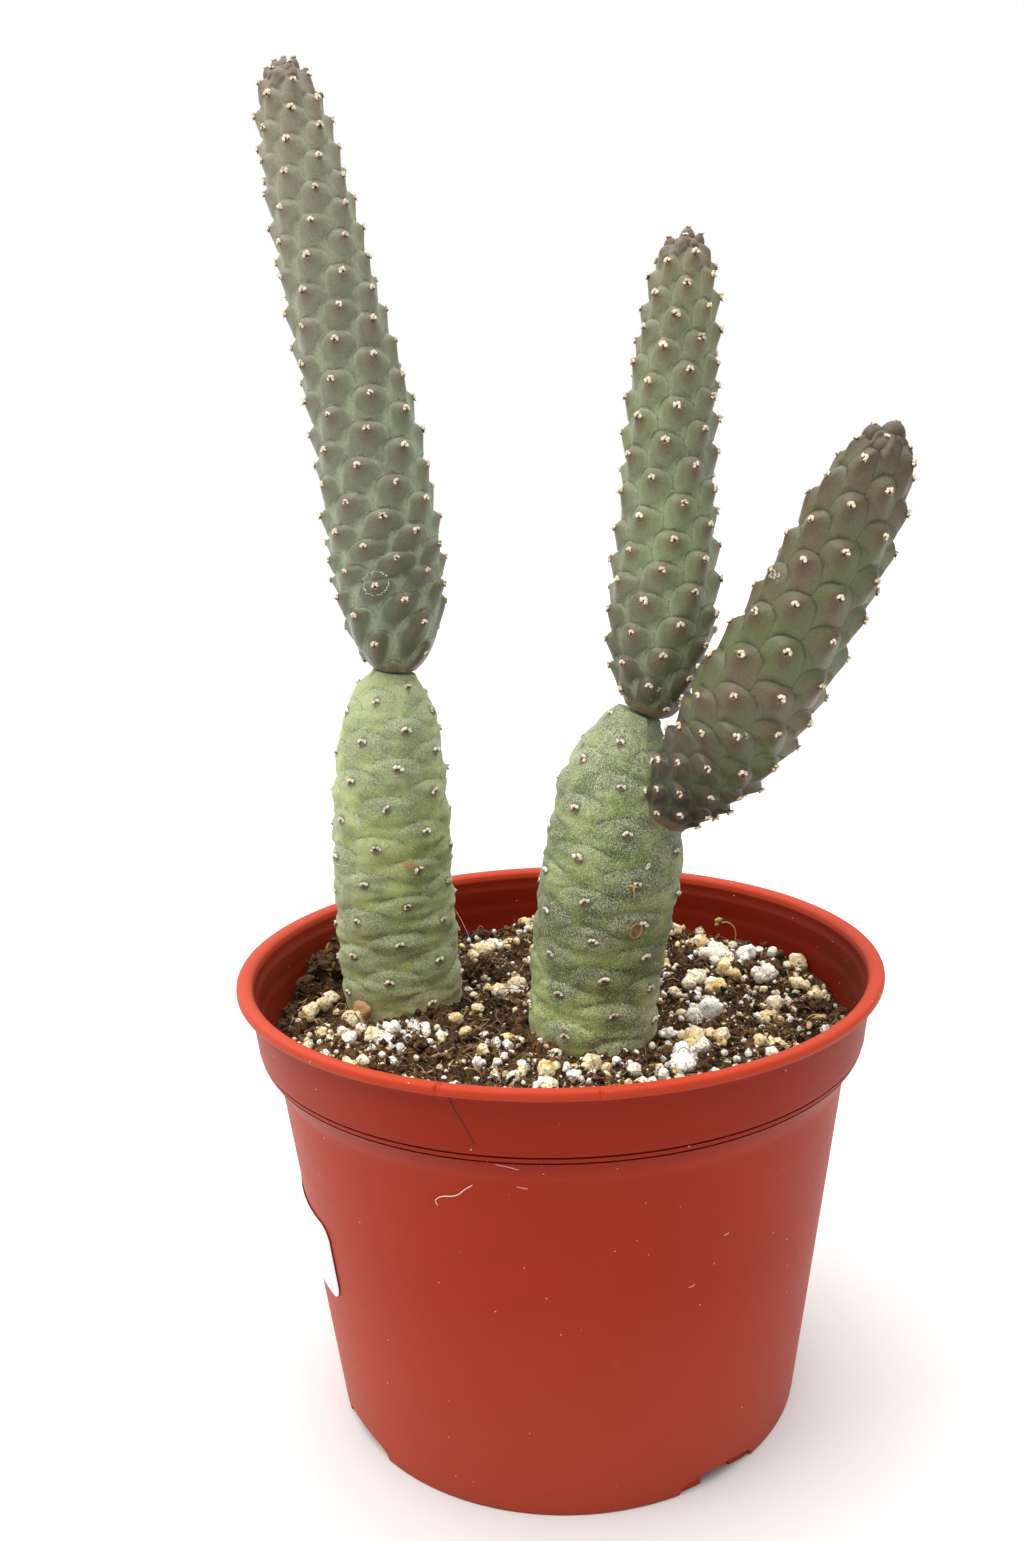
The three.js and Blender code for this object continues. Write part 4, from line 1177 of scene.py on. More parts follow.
def crown(name, material):
    """The new tubercles at a young segment's tip, each with its tuft of wool."""
    stem = STEMS[name]
    middle, _, front, side, along = (
        value[0] for value in stem_frame(stem, np.array([stem["length"] - 1])))
    tip = middle + along
    shape, shape_faces = ball(3)
    # The axes below mirror what they turn: a finger's faces are reversed for that, and a
    # tuft is mirrored once more.
    shape_faces = [face[::-1] for face in shape_faces]
    fingers, tufts, pale, across, above = [], [], [], [], []
    for i, (angle, aside, down, width) in enumerate(CROWNS[name]):
        turn = math.radians(angle)
        outward = front * math.cos(turn) + side * math.sin(turn)
        ahead = unit(along + outward * 0.09 * aside)
        right = unit(np.cross(ahead, outward))
        axes = np.array([right, np.cross(right, ahead), ahead])
        top = tip + outward * aside - along * down
        local = shape * (width / 2, width / 2, FINGER / 2) - (0, 0, FINGER / 2)
        fingers.append((local @ axes + top, shape_faces))
        across.append(np.hypot(local[:, 0], local[:, 1]))
        above.append(local[:, 2])
        points, faces, tones = KINDS[False][i % 6]
        tufts.append(((points * (1, -1, 1) * 0.95 - (0, 0, 0.1)) @ axes + top, faces))
        pale.append(tones)
    points, faces = joined(fingers)
    flat = np.zeros(len(points))
    make_piece(name + "_crown", points, faces, material, "young_stem", crease=flat + 3,
               across=np.concatenate(across), above=np.concatenate(above), hood=flat,
               scar=flat, share=flat + 0.975)
    points, faces = joined(tufts)
    make_piece(name + "_crown_wool", points, faces, cream_wool, "young_stem",
               pale=np.concatenate(pale))


for stem_name, skin_material in YOUNG_SKINS.items():
    crown(stem_name, skin_material)

# %% [markdown]
# ## Potting mix
# The pot is filled with peat, bark fines and perlite. The soil's surface has the
# same low mounds as the solid, on which a crumbly roughness is laid. A square
# grid pulled out to a disc keeps all its cells about the same size.

# %% Soil height
SOIL_LEVEL = 98.5
SOIL_EDGE = 75.3
# Across, back, width and height of low mounds, as in the solid.
BUMPS = [(-62, 38, 9, 6), (-66, 18, 8, 3.5), (55, 40, 16, 3.5), (8, 66, 20, 3),
         (-22, 26, 7, -3.5), (-20, -40, 18, 1.5), (30, 20, 12, -1.5)]


def soil_height(x, y):
    height = SOIL_LEVEL + 0.8 * np.sin(x * 0.43 + 1.3) * np.cos(y * 0.37 - 0.4)
    height = height + 0.4 * np.sin(x * 0.61 - y * 0.53)
    for cx, cy, width, rise in BUMPS:
        height = height + rise * np.exp(-((x - cx) ** 2 + (y - cy) ** 2) / (2 * width ** 2))
    return height


# Across, back, width and depth of hollows between the grains, painted dark as shade.
SHADED_HOLLOWS = [(-24, 14, 6, 0.9), (30, 20, 6, 0.7), (60, 8, 8, 0.4), (38, 44, 9, 0.4),
           (-64, 12, 8, 0.3)]


def damp_and_hollow_shade(points):
    """How much darker the peat is at some points: in wetter patches, and with painted shade in the
    hollows.
    """
    amount = 0.3 * lumpy(points * (1, 1, 0), 24.0, 12)
    for x, y, width, depth in SHADED_HOLLOWS:
        away = (points[:, 0] - x) ** 2 + (points[:, 1] - y) ** 2
        amount += depth * np.exp(-away / (2 * width ** 2))
    return amount


# %% Soil mesh
side = 145
steps = np.linspace(-1, 1, side)
a, b = np.meshgrid(steps, steps, indexing="ij")
wide = np.abs(a) > np.abs(b)
reach = np.where(wide, a, b)
safe = np.where(reach == 0, 1, reach)
turn = np.where(wide, math.pi / 4 * b / safe, math.pi / 2 - math.pi / 4 * a / safe)
x, y = reach * np.cos(turn) * SOIL_EDGE, reach * np.sin(turn) * SOIL_EDGE
flat_points = np.stack([x, y, x * 0], -1).reshape(-1, 3)
crumbs = sum(amount * np.abs(lumpy(flat_points, size, seed)) for amount, size, seed in (
    (4.6, 7.5, 1), (2.6, 3.2, 2), (1.6, 1.5, 3)))
ragged = 0.8 * lumpy(flat_points, 0.9, 4)
edge_fade = np.clip((1 - np.maximum(np.abs(a), np.abs(b))) * 12, 0, 1).reshape(-1)
top_z = soil_height(x, y).reshape(-1) + (crumbs - 2.4 + ragged) * (0.3 + 0.7 * edge_fade)
soil_points = flat_points + np.stack([top_z * 0, top_z * 0, top_z], -1)
soil_faces = [f[::-1] for f in grid_faces(side, side, closed=False)]
rim = grid_border(side, side)
rim_at = soil_points[rim]
spin = np.degrees(np.arctan2(rim_at[:, 0], -rim_at[:, 1]))
# Radius and height down the wall and over the floor, just inside the pot.
wall = [(72.6, 93.5), (71.2, 87.5), (69.9, 80), (61.5, 10), (59.2, 5.1), (47, 5.1), (45, 1.5)]
for radius, z in wall:
    soil_points = np.concatenate([soil_points, around(spin, radius, z)])
soil_points = np.concatenate([soil_points, [[0, 0, 1.5]]])
lower = [side * side + k * len(rim) for k in range(len(wall))]
for k in range(len(wall)):
    above = rim if k == 0 else [lower[k - 1] + i for i in range(len(rim))]
    below = [lower[k] + i for i in range(len(rim))]
    soil_faces += [(above[i - 1], above[i], below[i], below[i - 1]) for i in range(len(rim))]
last = len(soil_points) - 1
soil_faces += [(below[i - 1], below[i], last) for i in range(len(rim))]
relief = np.zeros(len(soil_points))
# The bed's low places and its hollows are painted darker, as shade.
relief[:len(crumbs)] = (crumbs - 0.6) / 4 - damp_and_hollow_shade(soil_points[:len(crumbs)])

# %% [markdown]
# Peat is nearly black where it is wet and brown where it dries, and it is
# full of short fibres, some reddish and some tan. The colour follows the height
# of the bed and of each clod: low places and undersides are painted dark, as
# shade, and tops light, as painted light. Thin curly lines, where a noise passes
# its middle value, stand for the fibres that are too many to model.

# %% Peat material
def peat(name, dark, mid, light, fibre):
    """Peat that is painted dark below and light above, as shade and light, with fibres drawn on it.
    """
    material, tree = new_material(name)
    place = add(tree, "TexCoord").outputs["Object"]
    high = add(tree, "Attribute", attribute_name="high").outputs["Fac"]
    clod = add(tree, "TexNoise", {"Vector": place, "Scale": 620.0, "Detail": 6.0,
                                  "Roughness": 0.75})
    lift = add(tree, "Math", {0: high, 1: 0.4, 2: clod}, operation="MULTIPLY_ADD")
    # Fibres are 0.1 to 0.2 mm thick and drawn a little thicker, to show.
    curl = add(tree, "TexNoise", {"Vector": place, "Scale": 800.0, "Detail": 2.5,
                                  "Distortion": 2.2})
    off = add(tree, "Math", {0: curl, 1: 0.5}, operation="SUBTRACT")
    near = add(tree, "Math", {0: off}, operation="ABSOLUTE")
    soil = layered(tree, colour(dark), [
        (mid, (lift, 0.44, 0.66)), (light, (lift, 0.68, 0.9)),
        (fibre, (near, 0.012, 0.04, 0.85, 0), (clod, 0.4, 0.58))])
    bump = add(tree, "Bump", {"Strength": 1.0, "Distance": 0.0024, "Height": clod})
    surface = add(tree, "BsdfPrincipled", {
        "Base Color": soil, "Roughness": 0.9, "Specular IOR Level": 0.3, "Normal": bump})
    add(tree, "OutputMaterial", {0: surface})
    return material


peat_bed = peat("fibrous_peat_dark_brown", 0x110a05, 0x4b341b, 0x7f5d38, 0xa5794c)
make_piece("potting_mix", soil_points, soil_faces, peat_bed, "soil", ["soil"], high=relief)

# %% [markdown]
# ## Perlite
# Perlite is volcanic glass, popped by heat into light white grains, rounded and
# knobbly, some stained cream or yellow. The solids hold the larger ones, at
# places drawn from a small repeatable number sequence. The same sequence gives
# the same places here, and a second one scatters the many small grains.

# %% Places of the large grains
def make_dice(seed):
    """The number sequence that the solids draw from."""
    state = seed
    while True:
        state = state * 16807 % 2147483647
        yield state / 2147483647


def clear_of_stems(x, y, size):
    """Whether a grain stands clear of the two rooted stems, given by place and radius."""
    return all(math.hypot(x - sx, y - sy) > radius + 1 + size * 0.6
               for sx, sy, radius in ((-43.9, 20, 16.4), (8, -6, 16.6)))


def solid_grains():
    """Centre, size and stretch of each grain in the soil's solid."""
    draw = make_dice(4711)
    grains = []
    for count, smallest, largest in ((44, 3.4, 7.4), (18, 2.2, 3.4)):
        made = 0
        while made < count:
            turn = next(draw) * 2 * math.pi
            reach = math.sqrt(next(draw)) * (SOIL_EDGE - largest / 2 - 1.5)
            size = smallest + (largest - smallest) * next(draw) ** 2
            x, y = math.sin(turn) * reach, -math.cos(turn) * reach
            if not clear_of_stems(x, y, size):
                continue
            made += 1
            stretch = (0.8 + 0.4 * next(draw), 0.75 + 0.35 * next(draw), 0.6 + 0.35 * next(draw))
            # The solid's grain draws its two turns next, which aren't needed here.
            next(draw), next(draw)
            grains.append((x, y, size, stretch))
    return grains


large_grains = solid_grains()
print("large perlite grains:", len(large_grains))


# %% Lumps
def knobbly(detail, seed, rough, knobs):
    """A ball with flats and knobs on it."""
    points, faces = ball(detail)
    dice = np.random.default_rng(seed)
    directions = unit(dice.standard_normal((knobs, 3)))
    facing = points @ directions.T
    swell = 0.2 * np.exp(-((1 - facing) / 0.09)).sum(1)
    flats = np.minimum(1, 0.8 / np.maximum(facing[:, ::2].max(1), 0.2))
    knobs = rough * lumpy(points, 0.42, seed) + rough * 0.5 * lumpy(points, 0.2, seed)
    length = flats + swell + knobs
    return points * length[:, None] * 0.82, faces


def place_lumps(kinds, places, seed):
    """Copies of lumps at (x, y, z, size, stretch), each turned at random.

    Gives points, faces, a random tone for each lump and how high each point is."""
    dice = np.random.default_rng(seed)
    parts, tones, heights = [], [], []
    for x, y, z, size, stretch in places:
        points, faces = kinds[dice.integers(len(kinds))]
        # Any turn about the vertical, after up to half a turn about a random axis.
        turn = Matrix.Rotation(dice.uniform(0, 6.28), 3, "Z") @ Matrix.Rotation(
            dice.uniform(0, 3.14), 3, Vector(dice.standard_normal(3)).normalized())
        moved = (points * stretch * size / 2) @ np.array(turn).T
        parts.append((moved + (x, y, z), faces))
        tones.append(np.full(len(points), dice.uniform()))
        heights.append(moved[:, 2] / size + 0.4)
    points, faces = joined(parts)
    # What would stick into the pot's wall, from 86 to 108 mm, is pressed flat against it.
    wall_z, wall_radius = np.array(sorted((z, radius) for radius, z in INSIDE[4:13])).T
    room = np.interp(points[:, 2], wall_z, wall_radius) - 0.15
    points[:, :2] *= np.minimum(1, room / np.hypot(points[:, 0], points[:, 1]))[:, None]
    return points, faces, np.concatenate(tones), np.concatenate(heights)


# %% Perlite material
popped_glass, tree = new_material("expanded_perlite_white")
tone = add(tree, "Attribute", attribute_name="tone").outputs["Fac"]
place = add(tree, "TexCoord").outputs["Object"]
stain, pores = (add(tree, "TexNoise", {"Vector": place, "Scale": bumps, "Detail": 3.0})
                for bumps in (330.0, 1500.0))
creamy = add(tree, "MapRange", {0: tone, 1: 0.25, 2: 0.9}, interpolation_type="SMOOTHSTEP")
# Yellow stains come with the cream. The pores, 0.3 mm wide, are darkened with peat dust and with
# painted shade.
grain_colour = layered(tree, colour(0xf6f2e9), [
    (0xe9d8ae, creamy), (0xd9a63c, (stain, 0.5, 0.64, 0, 0.8), creamy),
    (0x6b533a, (pores, 0.54, 0.66, 0, 0.75))])
bump = add(tree, "Bump", {"Strength": 0.9, "Distance": 0.0006, "Height": pores})
surface = add(tree, "BsdfPrincipled", {"Base Color": grain_colour, "Roughness": 0.8,
                                       "Normal": bump})
add(tree, "OutputMaterial", {0: surface})

# %% [markdown]
# Small grains lie in drifts, thickest in front, on the right and between the
# stems. A list of soft spots says how thick they lie where, and grains that are
# drawn outside them are mostly thrown away again. The grains that catch the eye
# in front, between the stems and in the heap on the right are listed one by one.

# %% Scatter perlite
# Across, back, width and thickness of each.
DRIFTS = [(10, -52, 24, 1.0), (50, 26, 18, 1.0), (-16, 30, 9, 0.9), (34, -28, 14, 1.0),
          (-45, -10, 9, 1.0), (68, 22, 9, 0.8), (-60, -24, 14, 0.5), (-18, 60, 16, 0.5),
          (-20, -45, 16, 0.6), (42, 0, 10, 0.9)]
LARGEST_GRIT = 1.3
# Across, back, size and creaminess of each.
CHOSEN = [(-44, -4, 5.8, 0.1), (-44.5, -14, 7, 0), (-49, -8.5, 4.8, 0.6), (-39.5, -10, 3.4, 0),
          (-62.5, 13, 4.8, 0.7), (-58.5, -13, 5, 1), (-62, -7, 3.6, 1), (-57, -4, 4.2, 0.2),
          (-36, -14.5, 4.2, 0), (-27.5, -2, 4.2, 0.7), (-21, 56, 5.4, 0.2), (-22.5, 47.5, 6.4, 0.9),
          (-12.5, 26, 7.6, 0.6), (-18, 29, 5.8, 0.8), (-11, 72, 5.4, 0.8), (45.5, 38, 8.4, 0.5),
          (54, 37, 7, 0), (38, 26, 7.2, 0.6), (47, 28, 7.2, 1), (43, 19, 5.8, 0.9),
          (42, 49, 6.6, 0.7), (44, 64, 5, 0.7), (35.5, 60, 5, 0.8), (57.5, 22, 7, 0.4),
          (39, 2.5, 8.6, 0.1), (42.5, -6, 4.8, 1), (53.5, -3, 4.8, 0.9), (66, 19, 4.6, 0.8),
          (69, 12, 5.4, 0.9), (67.5, 30, 6, 0.7), (33, -16.5, 6.6, 0.9), (39.5, -17, 5.6, 0.7),
          (55, -17.5, 5.2, 0.9), (29.5, -24, 6.4, 0), (28.5, -31.5, 6.6, 0), (6.5, -31, 7, 1),
          (27, -13, 4.4, 0), (-4, -33.5, 5.6, 0.9), (-14, -12, 5, 0.8), (-16, -35, 4, 1),
          (-9.5, -30.5, 3.6, 0), (-11.5, -37.5, 3.4, 0.4), (17, -34.5, 4.2, 0.5),
          (2.5, -37, 4.2, 0.1), (-1.5, -22, 3.6, 0.5), (30, -23, 5.6, 0), (27.5, -30, 4.2, 0),
          (28, -36, 3.8, 0.7), (20.5, -35, 3.2, 0), (10.5, -36, 3.2, 0.9), (-36, -12.5, 3.4, 0),
          (-20, -8.5, 3.2, 0), (-20.5, -31, 3.4, 0.3), (-13.5, -19.5, 3, 0.2), (32.5, -12.5, 5, 1),
          (-42, -23, 3.4, 0), (-28.5, -33.5, 3, 0.9)]


def scattered(count, smallest, largest, seed, spots, floor_share):
    """Places on the soil, drawn more often where the spots say so."""
    dice = np.random.default_rng(seed)
    places = []
    while len(places) < count:
        turn, reach = dice.uniform(0, 2 * math.pi), math.sqrt(dice.uniform())
        size = smallest + (largest - smallest) * dice.uniform() ** 2.2
        reach *= SOIL_EDGE - size * 0.55
        x, y = math.sin(turn) * reach, -math.cos(turn) * reach
        wish = floor_share + max(p * math.exp(-((x - cx) ** 2 + (y - cy) ** 2) / (2 * w * w))
                                 for cx, cy, w, p in spots)
        if dice.uniform() < wish and clear_of_stems(x, y, size * 0.8):
            places.append((x, y, size, dice.uniform(0.7, 1.15, 3)))
    return places


def ground(x, y):
    """The rough surface's height, close enough to sit a grain on it."""
    near = np.argmin((flat_points[:, 0] - x) ** 2 + (flat_points[:, 1] - y) ** 2)
    return top_z[near]


def settled(places, rise):
    """Places of lumps of which the middle lies that share of their size above the ground."""
    return [(x, y, ground(x, y) + size * rise, size, stretch) for x, y, size, stretch in places]


def perlite(name, kinds, places, seed, cream=None):
    """A piece of perlite grains, stained as given or at random."""
    points, faces, tones, _ = place_lumps(kinds, places, seed)
    if cream is not None:
        tones = np.repeat(cream, len(points) // len(cream))
    make_piece(name, points, faces, popped_glass, "soil", tone=tones)


big_lumps = [knobbly(3, 50 + i, 0.34, 12) for i in range(8)]
small_lumps = [knobbly(2, 70 + i, 0.3, 4) for i in range(8)]
grit = [knobbly(1, 90 + i, 0.25, 3) for i in range(6)]
big_places = [(x, y, float(soil_height(x, y)) + 0.5, size * 1.04, np.array(stretch))
              for x, y, size, stretch in large_grains]
perlite("perlite_large", big_lumps, big_places, 3)
flattened = np.array((1.1, 0.9, 0.8))
chosen_places = settled([(x, y, size, flattened) for x, y, size, _ in CHOSEN], 0.24)
perlite("perlite_chosen", big_lumps, chosen_places, 8, [creaminess for *_, creaminess in CHOSEN])
# Smaller grains have baked on to the larger ones, three to each.
dice = np.random.default_rng(15)
baked_on, cream = [], []
for (x, y, z, size, _), (*_, creaminess) in zip(chosen_places, CHOSEN):
    for _ in range(3 if size > 4.5 else 1):
        turn, small = dice.uniform(0, 2 * math.pi), size * dice.uniform(0.4, 0.66)
        away = size * dice.uniform(0.42, 0.6)
        sx, sy = x + math.cos(turn) * away, y + math.sin(turn) * away
        if clear_of_stems(sx, sy, small) and math.hypot(sx, sy) < SOIL_EDGE - small / 2:
            baked_on.append((sx, sy, z + size * dice.uniform(-0.15, 0.1), small,
                             dice.uniform(0.8, 1.2, 3)))
            cream.append(creaminess)
perlite("perlite_baked_on", small_lumps, baked_on, 12, cream)
medium_places = settled(scattered(230, 2.0, 4.6, 22, DRIFTS, 0.06), 0.22)
small_places = settled(scattered(1900, 0.5, 2.4, 21, DRIFTS, 0.14), 0.25)
medium_places += [place for place in small_places if place[3] >= LARGEST_GRIT]
perlite("perlite_small", small_lumps, medium_places, 4)
perlite("perlite_grit", grit, [place for place in small_places if place[3] < LARGEST_GRIT], 6)

# %% [markdown]
# ## Clods, crumbs and fibres
# Clods of peat up to 8 mm wide and loose crumbs lie on the surface, and fine
# rootlets and bark shreds run through it. Clods are balls with very uneven
# corners; they leave dark gaps between them, as in real potting mix.

# %% Peat clods and crumbs
loose_peat = peat("fibrous_peat_loose_clods", 0x150d06, 0x523a1f, 0x896640, 0xad8052)
clods = []
for i in range(8):
    points, faces = ball(3)
    bulge = sum(amount * lumpy(points, width, 130 + i) for amount, width in (
        (0.5, 0.6), (0.42, 0.3), (0.3, 0.16)))
    clods.append((points * (0.9 + bulge)[:, None], faces))
everywhere = [(0, 0, 200, 1.0)]
clod_places = settled(scattered(150, 2.4, 6.0, 33, everywhere, 0), 0.05)
# At the back left the peat is heaped against the wall.
clod_places += settled([(x, y, size, np.array((1, 0.9, 0.8))) for x, y, size in (
    (-62, 35, 11), (-66, 25, 10), (-57, 43, 10), (-69, 16, 7), (-54, 36, 8), (-61, 29, 8),
    (-67, 31, 8))], 0.3)
points, faces, _, heights = place_lumps(clods, clod_places, 9)
# Each clod is painted lighter on top and darker below, as light and shade.
make_piece("peat_clods", points, faces, loose_peat, "soil", sharp=24,
           high=heights * 0.8 - 0.1 - damp_and_hollow_shade(points))
coarse = []
for i in range(10):
    points, faces = ball(1)
    dice = np.random.default_rng(130 + i)
    coarse.append((points * (0.6 + 0.7 * dice.uniform(size=(len(points), 1))), faces))
dice = np.random.default_rng(61)
crumb_places = [(x, y, ground(x, y) + size * dice.uniform(0.1, 0.6), size, stretch)
                for x, y, size, stretch in scattered(3500, 0.6, 2.5, 31, everywhere, 0)]
# Crumbs also stick to the clods, a dozen to each.
for x, y, z, size, stretch in clod_places:
    for _ in range(12):
        way = dice.standard_normal(3)
        way[2] = abs(way[2])
        at = unit(way) * size * 0.48 * stretch + (x, y, z)
        if math.hypot(at[0], at[1]) < SOIL_EDGE - 0.6:
            crumb_places.append((*at, dice.uniform(0.7, 1.9), dice.uniform(0.7, 1.2, 3)))
points, faces, tone_values, heights = place_lumps(coarse, crumb_places, 5)
# Crumbs are painted lighter on top, as light, and their tones vary at random.
make_piece("peat_crumbs", points, faces, loose_peat, "soil", sharp=20,
           high=heights * 0.7 + tone_values ** 3 * 1.2 - 0.3 - damp_and_hollow_shade(points))

# %% Rootlets and bark shreds
fibrous, tree = new_material("bark_fibre_tan")
tone = add(tree, "Attribute", attribute_name="tone").outputs["Fac"]
place = add(tree, "TexCoord").outputs["Object"]
streak = add(tree, "TexNoise", {"Vector": place, "Scale": 900.0, "Detail": 4.0})
mottled = add(tree, "Math", {0: streak, 1: 0.5, 2: tone}, operation="MULTIPLY_ADD")
fibre_colour = layered(tree, colour(0x3a1f0d), [(0xc29a6a, (mottled, 0.2, 1.3))])
surface = add(tree, "BsdfPrincipled", {"Base Color": fibre_colour, "Roughness": 0.85})
add(tree, "OutputMaterial", {0: surface})

dice = np.random.default_rng(77)
parts, tones = [], []
for x, y, size, _ in scattered(3500, 1.6, 7.0, 41, everywhere, 0):
    heading = dice.uniform(0, 2 * math.pi)
    bend = dice.normal(0, 2.0)
    steps = np.linspace(-0.5, 0.5, 5)
    path = np.stack([x + size * steps * np.cos(heading + bend * steps),
                     y + size * steps * np.sin(heading + bend * steps),
                     steps * 0], 1)
    inside_pot = np.hypot(path[:, 0], path[:, 1]).max() < SOIL_EDGE - 1
    if not inside_pot or not all(clear_of_stems(px, py, 0.5) for px, py, _ in path):
        continue
    path[:, 2] = ground(x, y) + 0.8 + size * dice.normal(0, 0.3) * steps + dice.uniform(-0.3, 1.2)
    path[:, 2] += size * dice.normal(0, 0.25) * (1 - 4 * steps ** 2)
    tube = strand(path, dice.uniform(0.07, 0.17) * np.array([0.5, 1, 1, 0.9, 0.4]), 3)
    parts.append(tube)
    tones.append(np.full(len(tube[0]), dice.uniform() ** 1.2))
points, faces = joined(parts)
make_piece("rootlets", points, faces, fibrous, "soil", tone=np.concatenate(tones))

# %% [markdown]
# ## Small things on the soil
# A dry twig leans at the left, a bark nugget and a tan flake lie by the wall, and
# a seedling with one curled leaf has come up at the back right. A fine hair
# runs from the wall behind. The twig is bleached wood and the nugget is pine
# bark, both with long streaks along the grain.

# %% Twig, bark and flake
def lump(detail, centre, sizes, turn, seed, rough):
    """One rough lump of given width, depth and height, turned about the vertical."""
    points, faces = ball(detail)
    points = points * (1 + rough * lumpy(points, 0.6, seed))[:, None] * np.array(sizes) / 2
    return points @ np.array(Matrix.Rotation(math.radians(turn), 3, "Z")).T + centre, faces


def rested(x, y, lift):
    return np.array([x, y, ground(x, y) + lift])


twig_path = [rested(-60.9, -13.8, 0.5), rested(-58, -11.4, 1.6), rested(-55, -9, 1.7),
             rested(-52.2, -6.7, 1.2)]
twig = strand(smooth_path(twig_path, 14), 0.75 + 0.2 * np.sin(np.arange(14) * 1.7), 7)
nugget = lump(3, rested(-66, 38, 2.6), (6.2, 4.6, 3.6), 25, 5, 0.5)
tan_flake = lump(2, rested(68.2, 0, 1.6), (5, 2.6, 0.7), -30, 6, 0.4)
papery = lump(3, rested(-52.8, 3.2, 3.2), (6, 2.8, 5.6), -32, 21, 0.5)
shreds = [lump(2, rested(x, y, 1.2), (5, 1.6, 0.9), turn, 7 + i, 0.4)
          for i, (x, y, turn) in enumerate([(-30, -26, 20), (14, -44, -35), (52, -30, 60),
                                            (-4, 48, 10), (63, -12, 75), (-12, -58, -15)])]
litter_parts = [twig, nugget, tan_flake, papery, *shreds]
points, faces = joined(litter_parts)
litter_tones = [0.75, 0.55, 0.9, 0.6, 0.35, 0.6, 0.45, 0.5, 0.7, 0.4]
make_piece("bark_and_twig", points, faces, fibrous, "soil", tone=np.concatenate(
    [np.full(len(part[0]), tone) for part, tone in zip(litter_parts, litter_tones)]))

# %% Seedling and hair
seedling_green, tree = new_material("seedling_leaf_green")
place = add(tree, "TexCoord").outputs["Object"]
vein = add(tree, "TexNoise", {"Vector": place, "Scale": 900.0})
_, _, up = add(tree, "SeparateXYZ", {0: place}).outputs
# The stalk is pale and pinkish, the leaf at its end green.
greener = add(tree, "MapRange", {0: up, 1: 0.107, 2: 0.1105})
leaf = layered(tree, colour(0x5f8a2c), [(0x86ab44, vein)])
stalk = add(tree, "Mix", {0: greener, 6: colour(0xb98d62), 7: leaf}, data_type="RGBA")
surface = add(tree, "BsdfPrincipled", {"Base Color": stalk, "Roughness": 0.5})
add(tree, "OutputMaterial", {0: surface})
foot = rested(51.9, 50.6, 0)
stalk_path = [foot, foot + (0.5, -0.3, 3.4), foot + (0.1, -0.5, 6.6), foot + (-1.8, -0.6, 8.4),
              foot + (-3.8, -0.7, 8.5)]
leaf_at = foot + (-4.6, -0.8, 9.3)
seedling = [strand(smooth_path(stalk_path, 24), 0.22, 5),
            lump(2, leaf_at, (2.6, 1.2, 1.6), 20, 3, 0.35),
            lump(2, leaf_at + (-0.6, 0, -1.3), (1.4, 1.0, 1.1), -20, 4, 0.35)]
make_piece("seedling", *joined(seedling), seedling_green, "soil")
hair_path = [(-34, 66, 112), (-30, 58, 108.5), (-27, 50, 105), (-25, 40, 102.5)]
make_piece("hair_behind", *strand(smooth_path(hair_path, 20), 0.035, 3), cotton, "soil")

# %% [markdown]
# ## Small things on the stems
# Three loose threads lie on the left old stem. On the right one are a white chip,
# a dry stub of a thorn and a papery brown flake, the rim of which has lifted. A
# ring of pale specks lies round one areole of the left young stem. Each is set
# by its distance along the stem and its angle, like the scars.

# %% Threads, chip, stub, flake and specks
def on_skin(name, s, angle, lift):
    """Points on a stem's skin, lifted off it by so many millimetres."""
    stem = STEMS[name]
    s, angle = np.asarray(s, float), np.asarray(angle, float)
    height = skin_lift(stem, s, angle, tubercle_pattern(stem, s, angle))
    return stem_point(stem, s, angle, height + lift)


wavy = 0.05 + 0.12 * np.sin(np.arange(14) * 0.9)
left_threads = [
    strand(on_skin("left_lower_segment", np.linspace(*along, 14), np.linspace(*turns, 14), wavy),
           0.075)
    for along, turns in (((75.9, 72.5), (-30, -22)), ((61.6, 62), (-57, -37.5)),
                         ((74.4, 70.8), (-27, -26)))]
make_piece("left_lower_threads", *joined(left_threads), cotton, "old_stem")


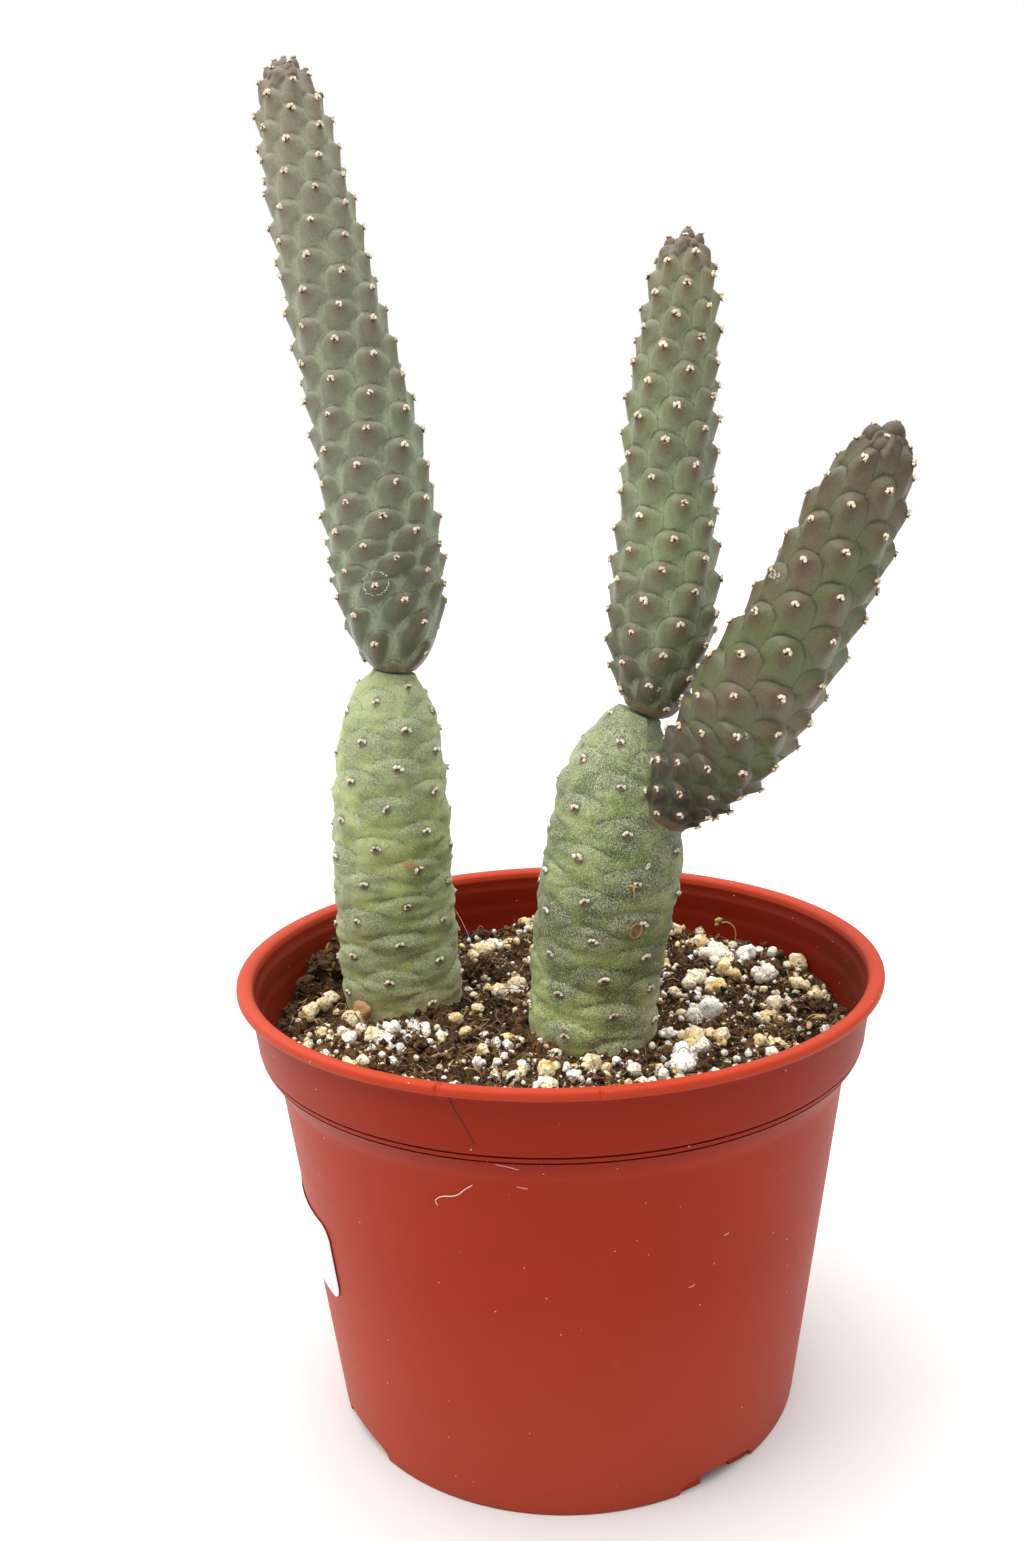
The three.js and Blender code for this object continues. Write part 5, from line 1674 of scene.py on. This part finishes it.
def scale(name, s, angle, height, width, lift, edge):
    """A thin curved flake that follows the skin: a grid with a raised rim."""
    side = 9
    v, u = np.meshgrid(np.linspace(-1, 1, side), np.linspace(-1, 1, side), indexing="ij")
    square = np.sqrt(1 - v ** 2 / 2), np.sqrt(1 - u ** 2 / 2)
    u, v = u * square[0], v * square[1]
    away = np.hypot(u, v)
    radius = STEMS[name]["stations"][3][3]
    turn = angle + np.degrees((u * width / 2 + v * 0.25) / radius)
    layers = [on_skin(name, s + v * height / 2, turn, lift + edge * away ** 4 + thick)
              for thick in (0, 0.22)]
    points = np.concatenate([layer.reshape(-1, 3) for layer in layers])
    return points, sheet_faces(side, side), np.tile(away.ravel(), 2)


points, faces, rim_share = scale("right_lower_segment", 56.2, 22.5, 4.2, 3.1, 0.15, 0.4)
stub = strand(on_skin("right_lower_segment", np.linspace(67.2, 62.7, 12), np.linspace(14, 18.5, 12),
                      0.45 - 0.02 * np.arange(12)), np.linspace(0.34, 0.16, 12), 5)
stub_head = strand(on_skin("right_lower_segment", np.array([67.5, 67.4, 67.2]),
                           np.array([10.5, 14, 17.5]), 0.5), 0.3, 5)
debris = [(points, faces), stub, stub_head]
debris_tones = [np.clip(0.35 + rim_share * 2.4 - 1.7, 0.35, 1),
                np.repeat(np.linspace(1, 0.45, 12), 5), np.full(15, 1.2)]
points, faces = joined(debris)
make_piece("right_lower_debris", points, faces, fibrous, "old_stem",
           tone=np.concatenate(debris_tones))
points, faces, rim_share = scale("right_lower_segment", 72.1, 25, 1.6, 1.0, 0.1, 0.1)
make_piece("right_lower_chip", points, faces, popped_glass, "old_stem", tone=rim_share * 0)
dice = np.random.default_rng(5)
specks = []
grain, grain_faces = ball(1)
for a in np.arange(46) * 2 * math.pi / 46:
    reach = 3.3 + 0.18 * dice.standard_normal()
    at = on_skin("left_upper_segment", [24 + reach * 0.9 * math.sin(a)],
                 [-7.5 + np.degrees(reach * math.cos(a) / 14)], 0.03)
    specks.append((grain * dice.uniform(0.07, 0.2) + at, grain_faces))
points, faces = joined(specks)
make_piece("left_upper_specks", points, faces, popped_glass, "young_stem",
           tone=np.full(len(points), 0.2))

# %% [markdown]
# ## Finish
# The number of triangles in all is printed.

# %% Triangles in all
print("triangles in all:", total_triangles)
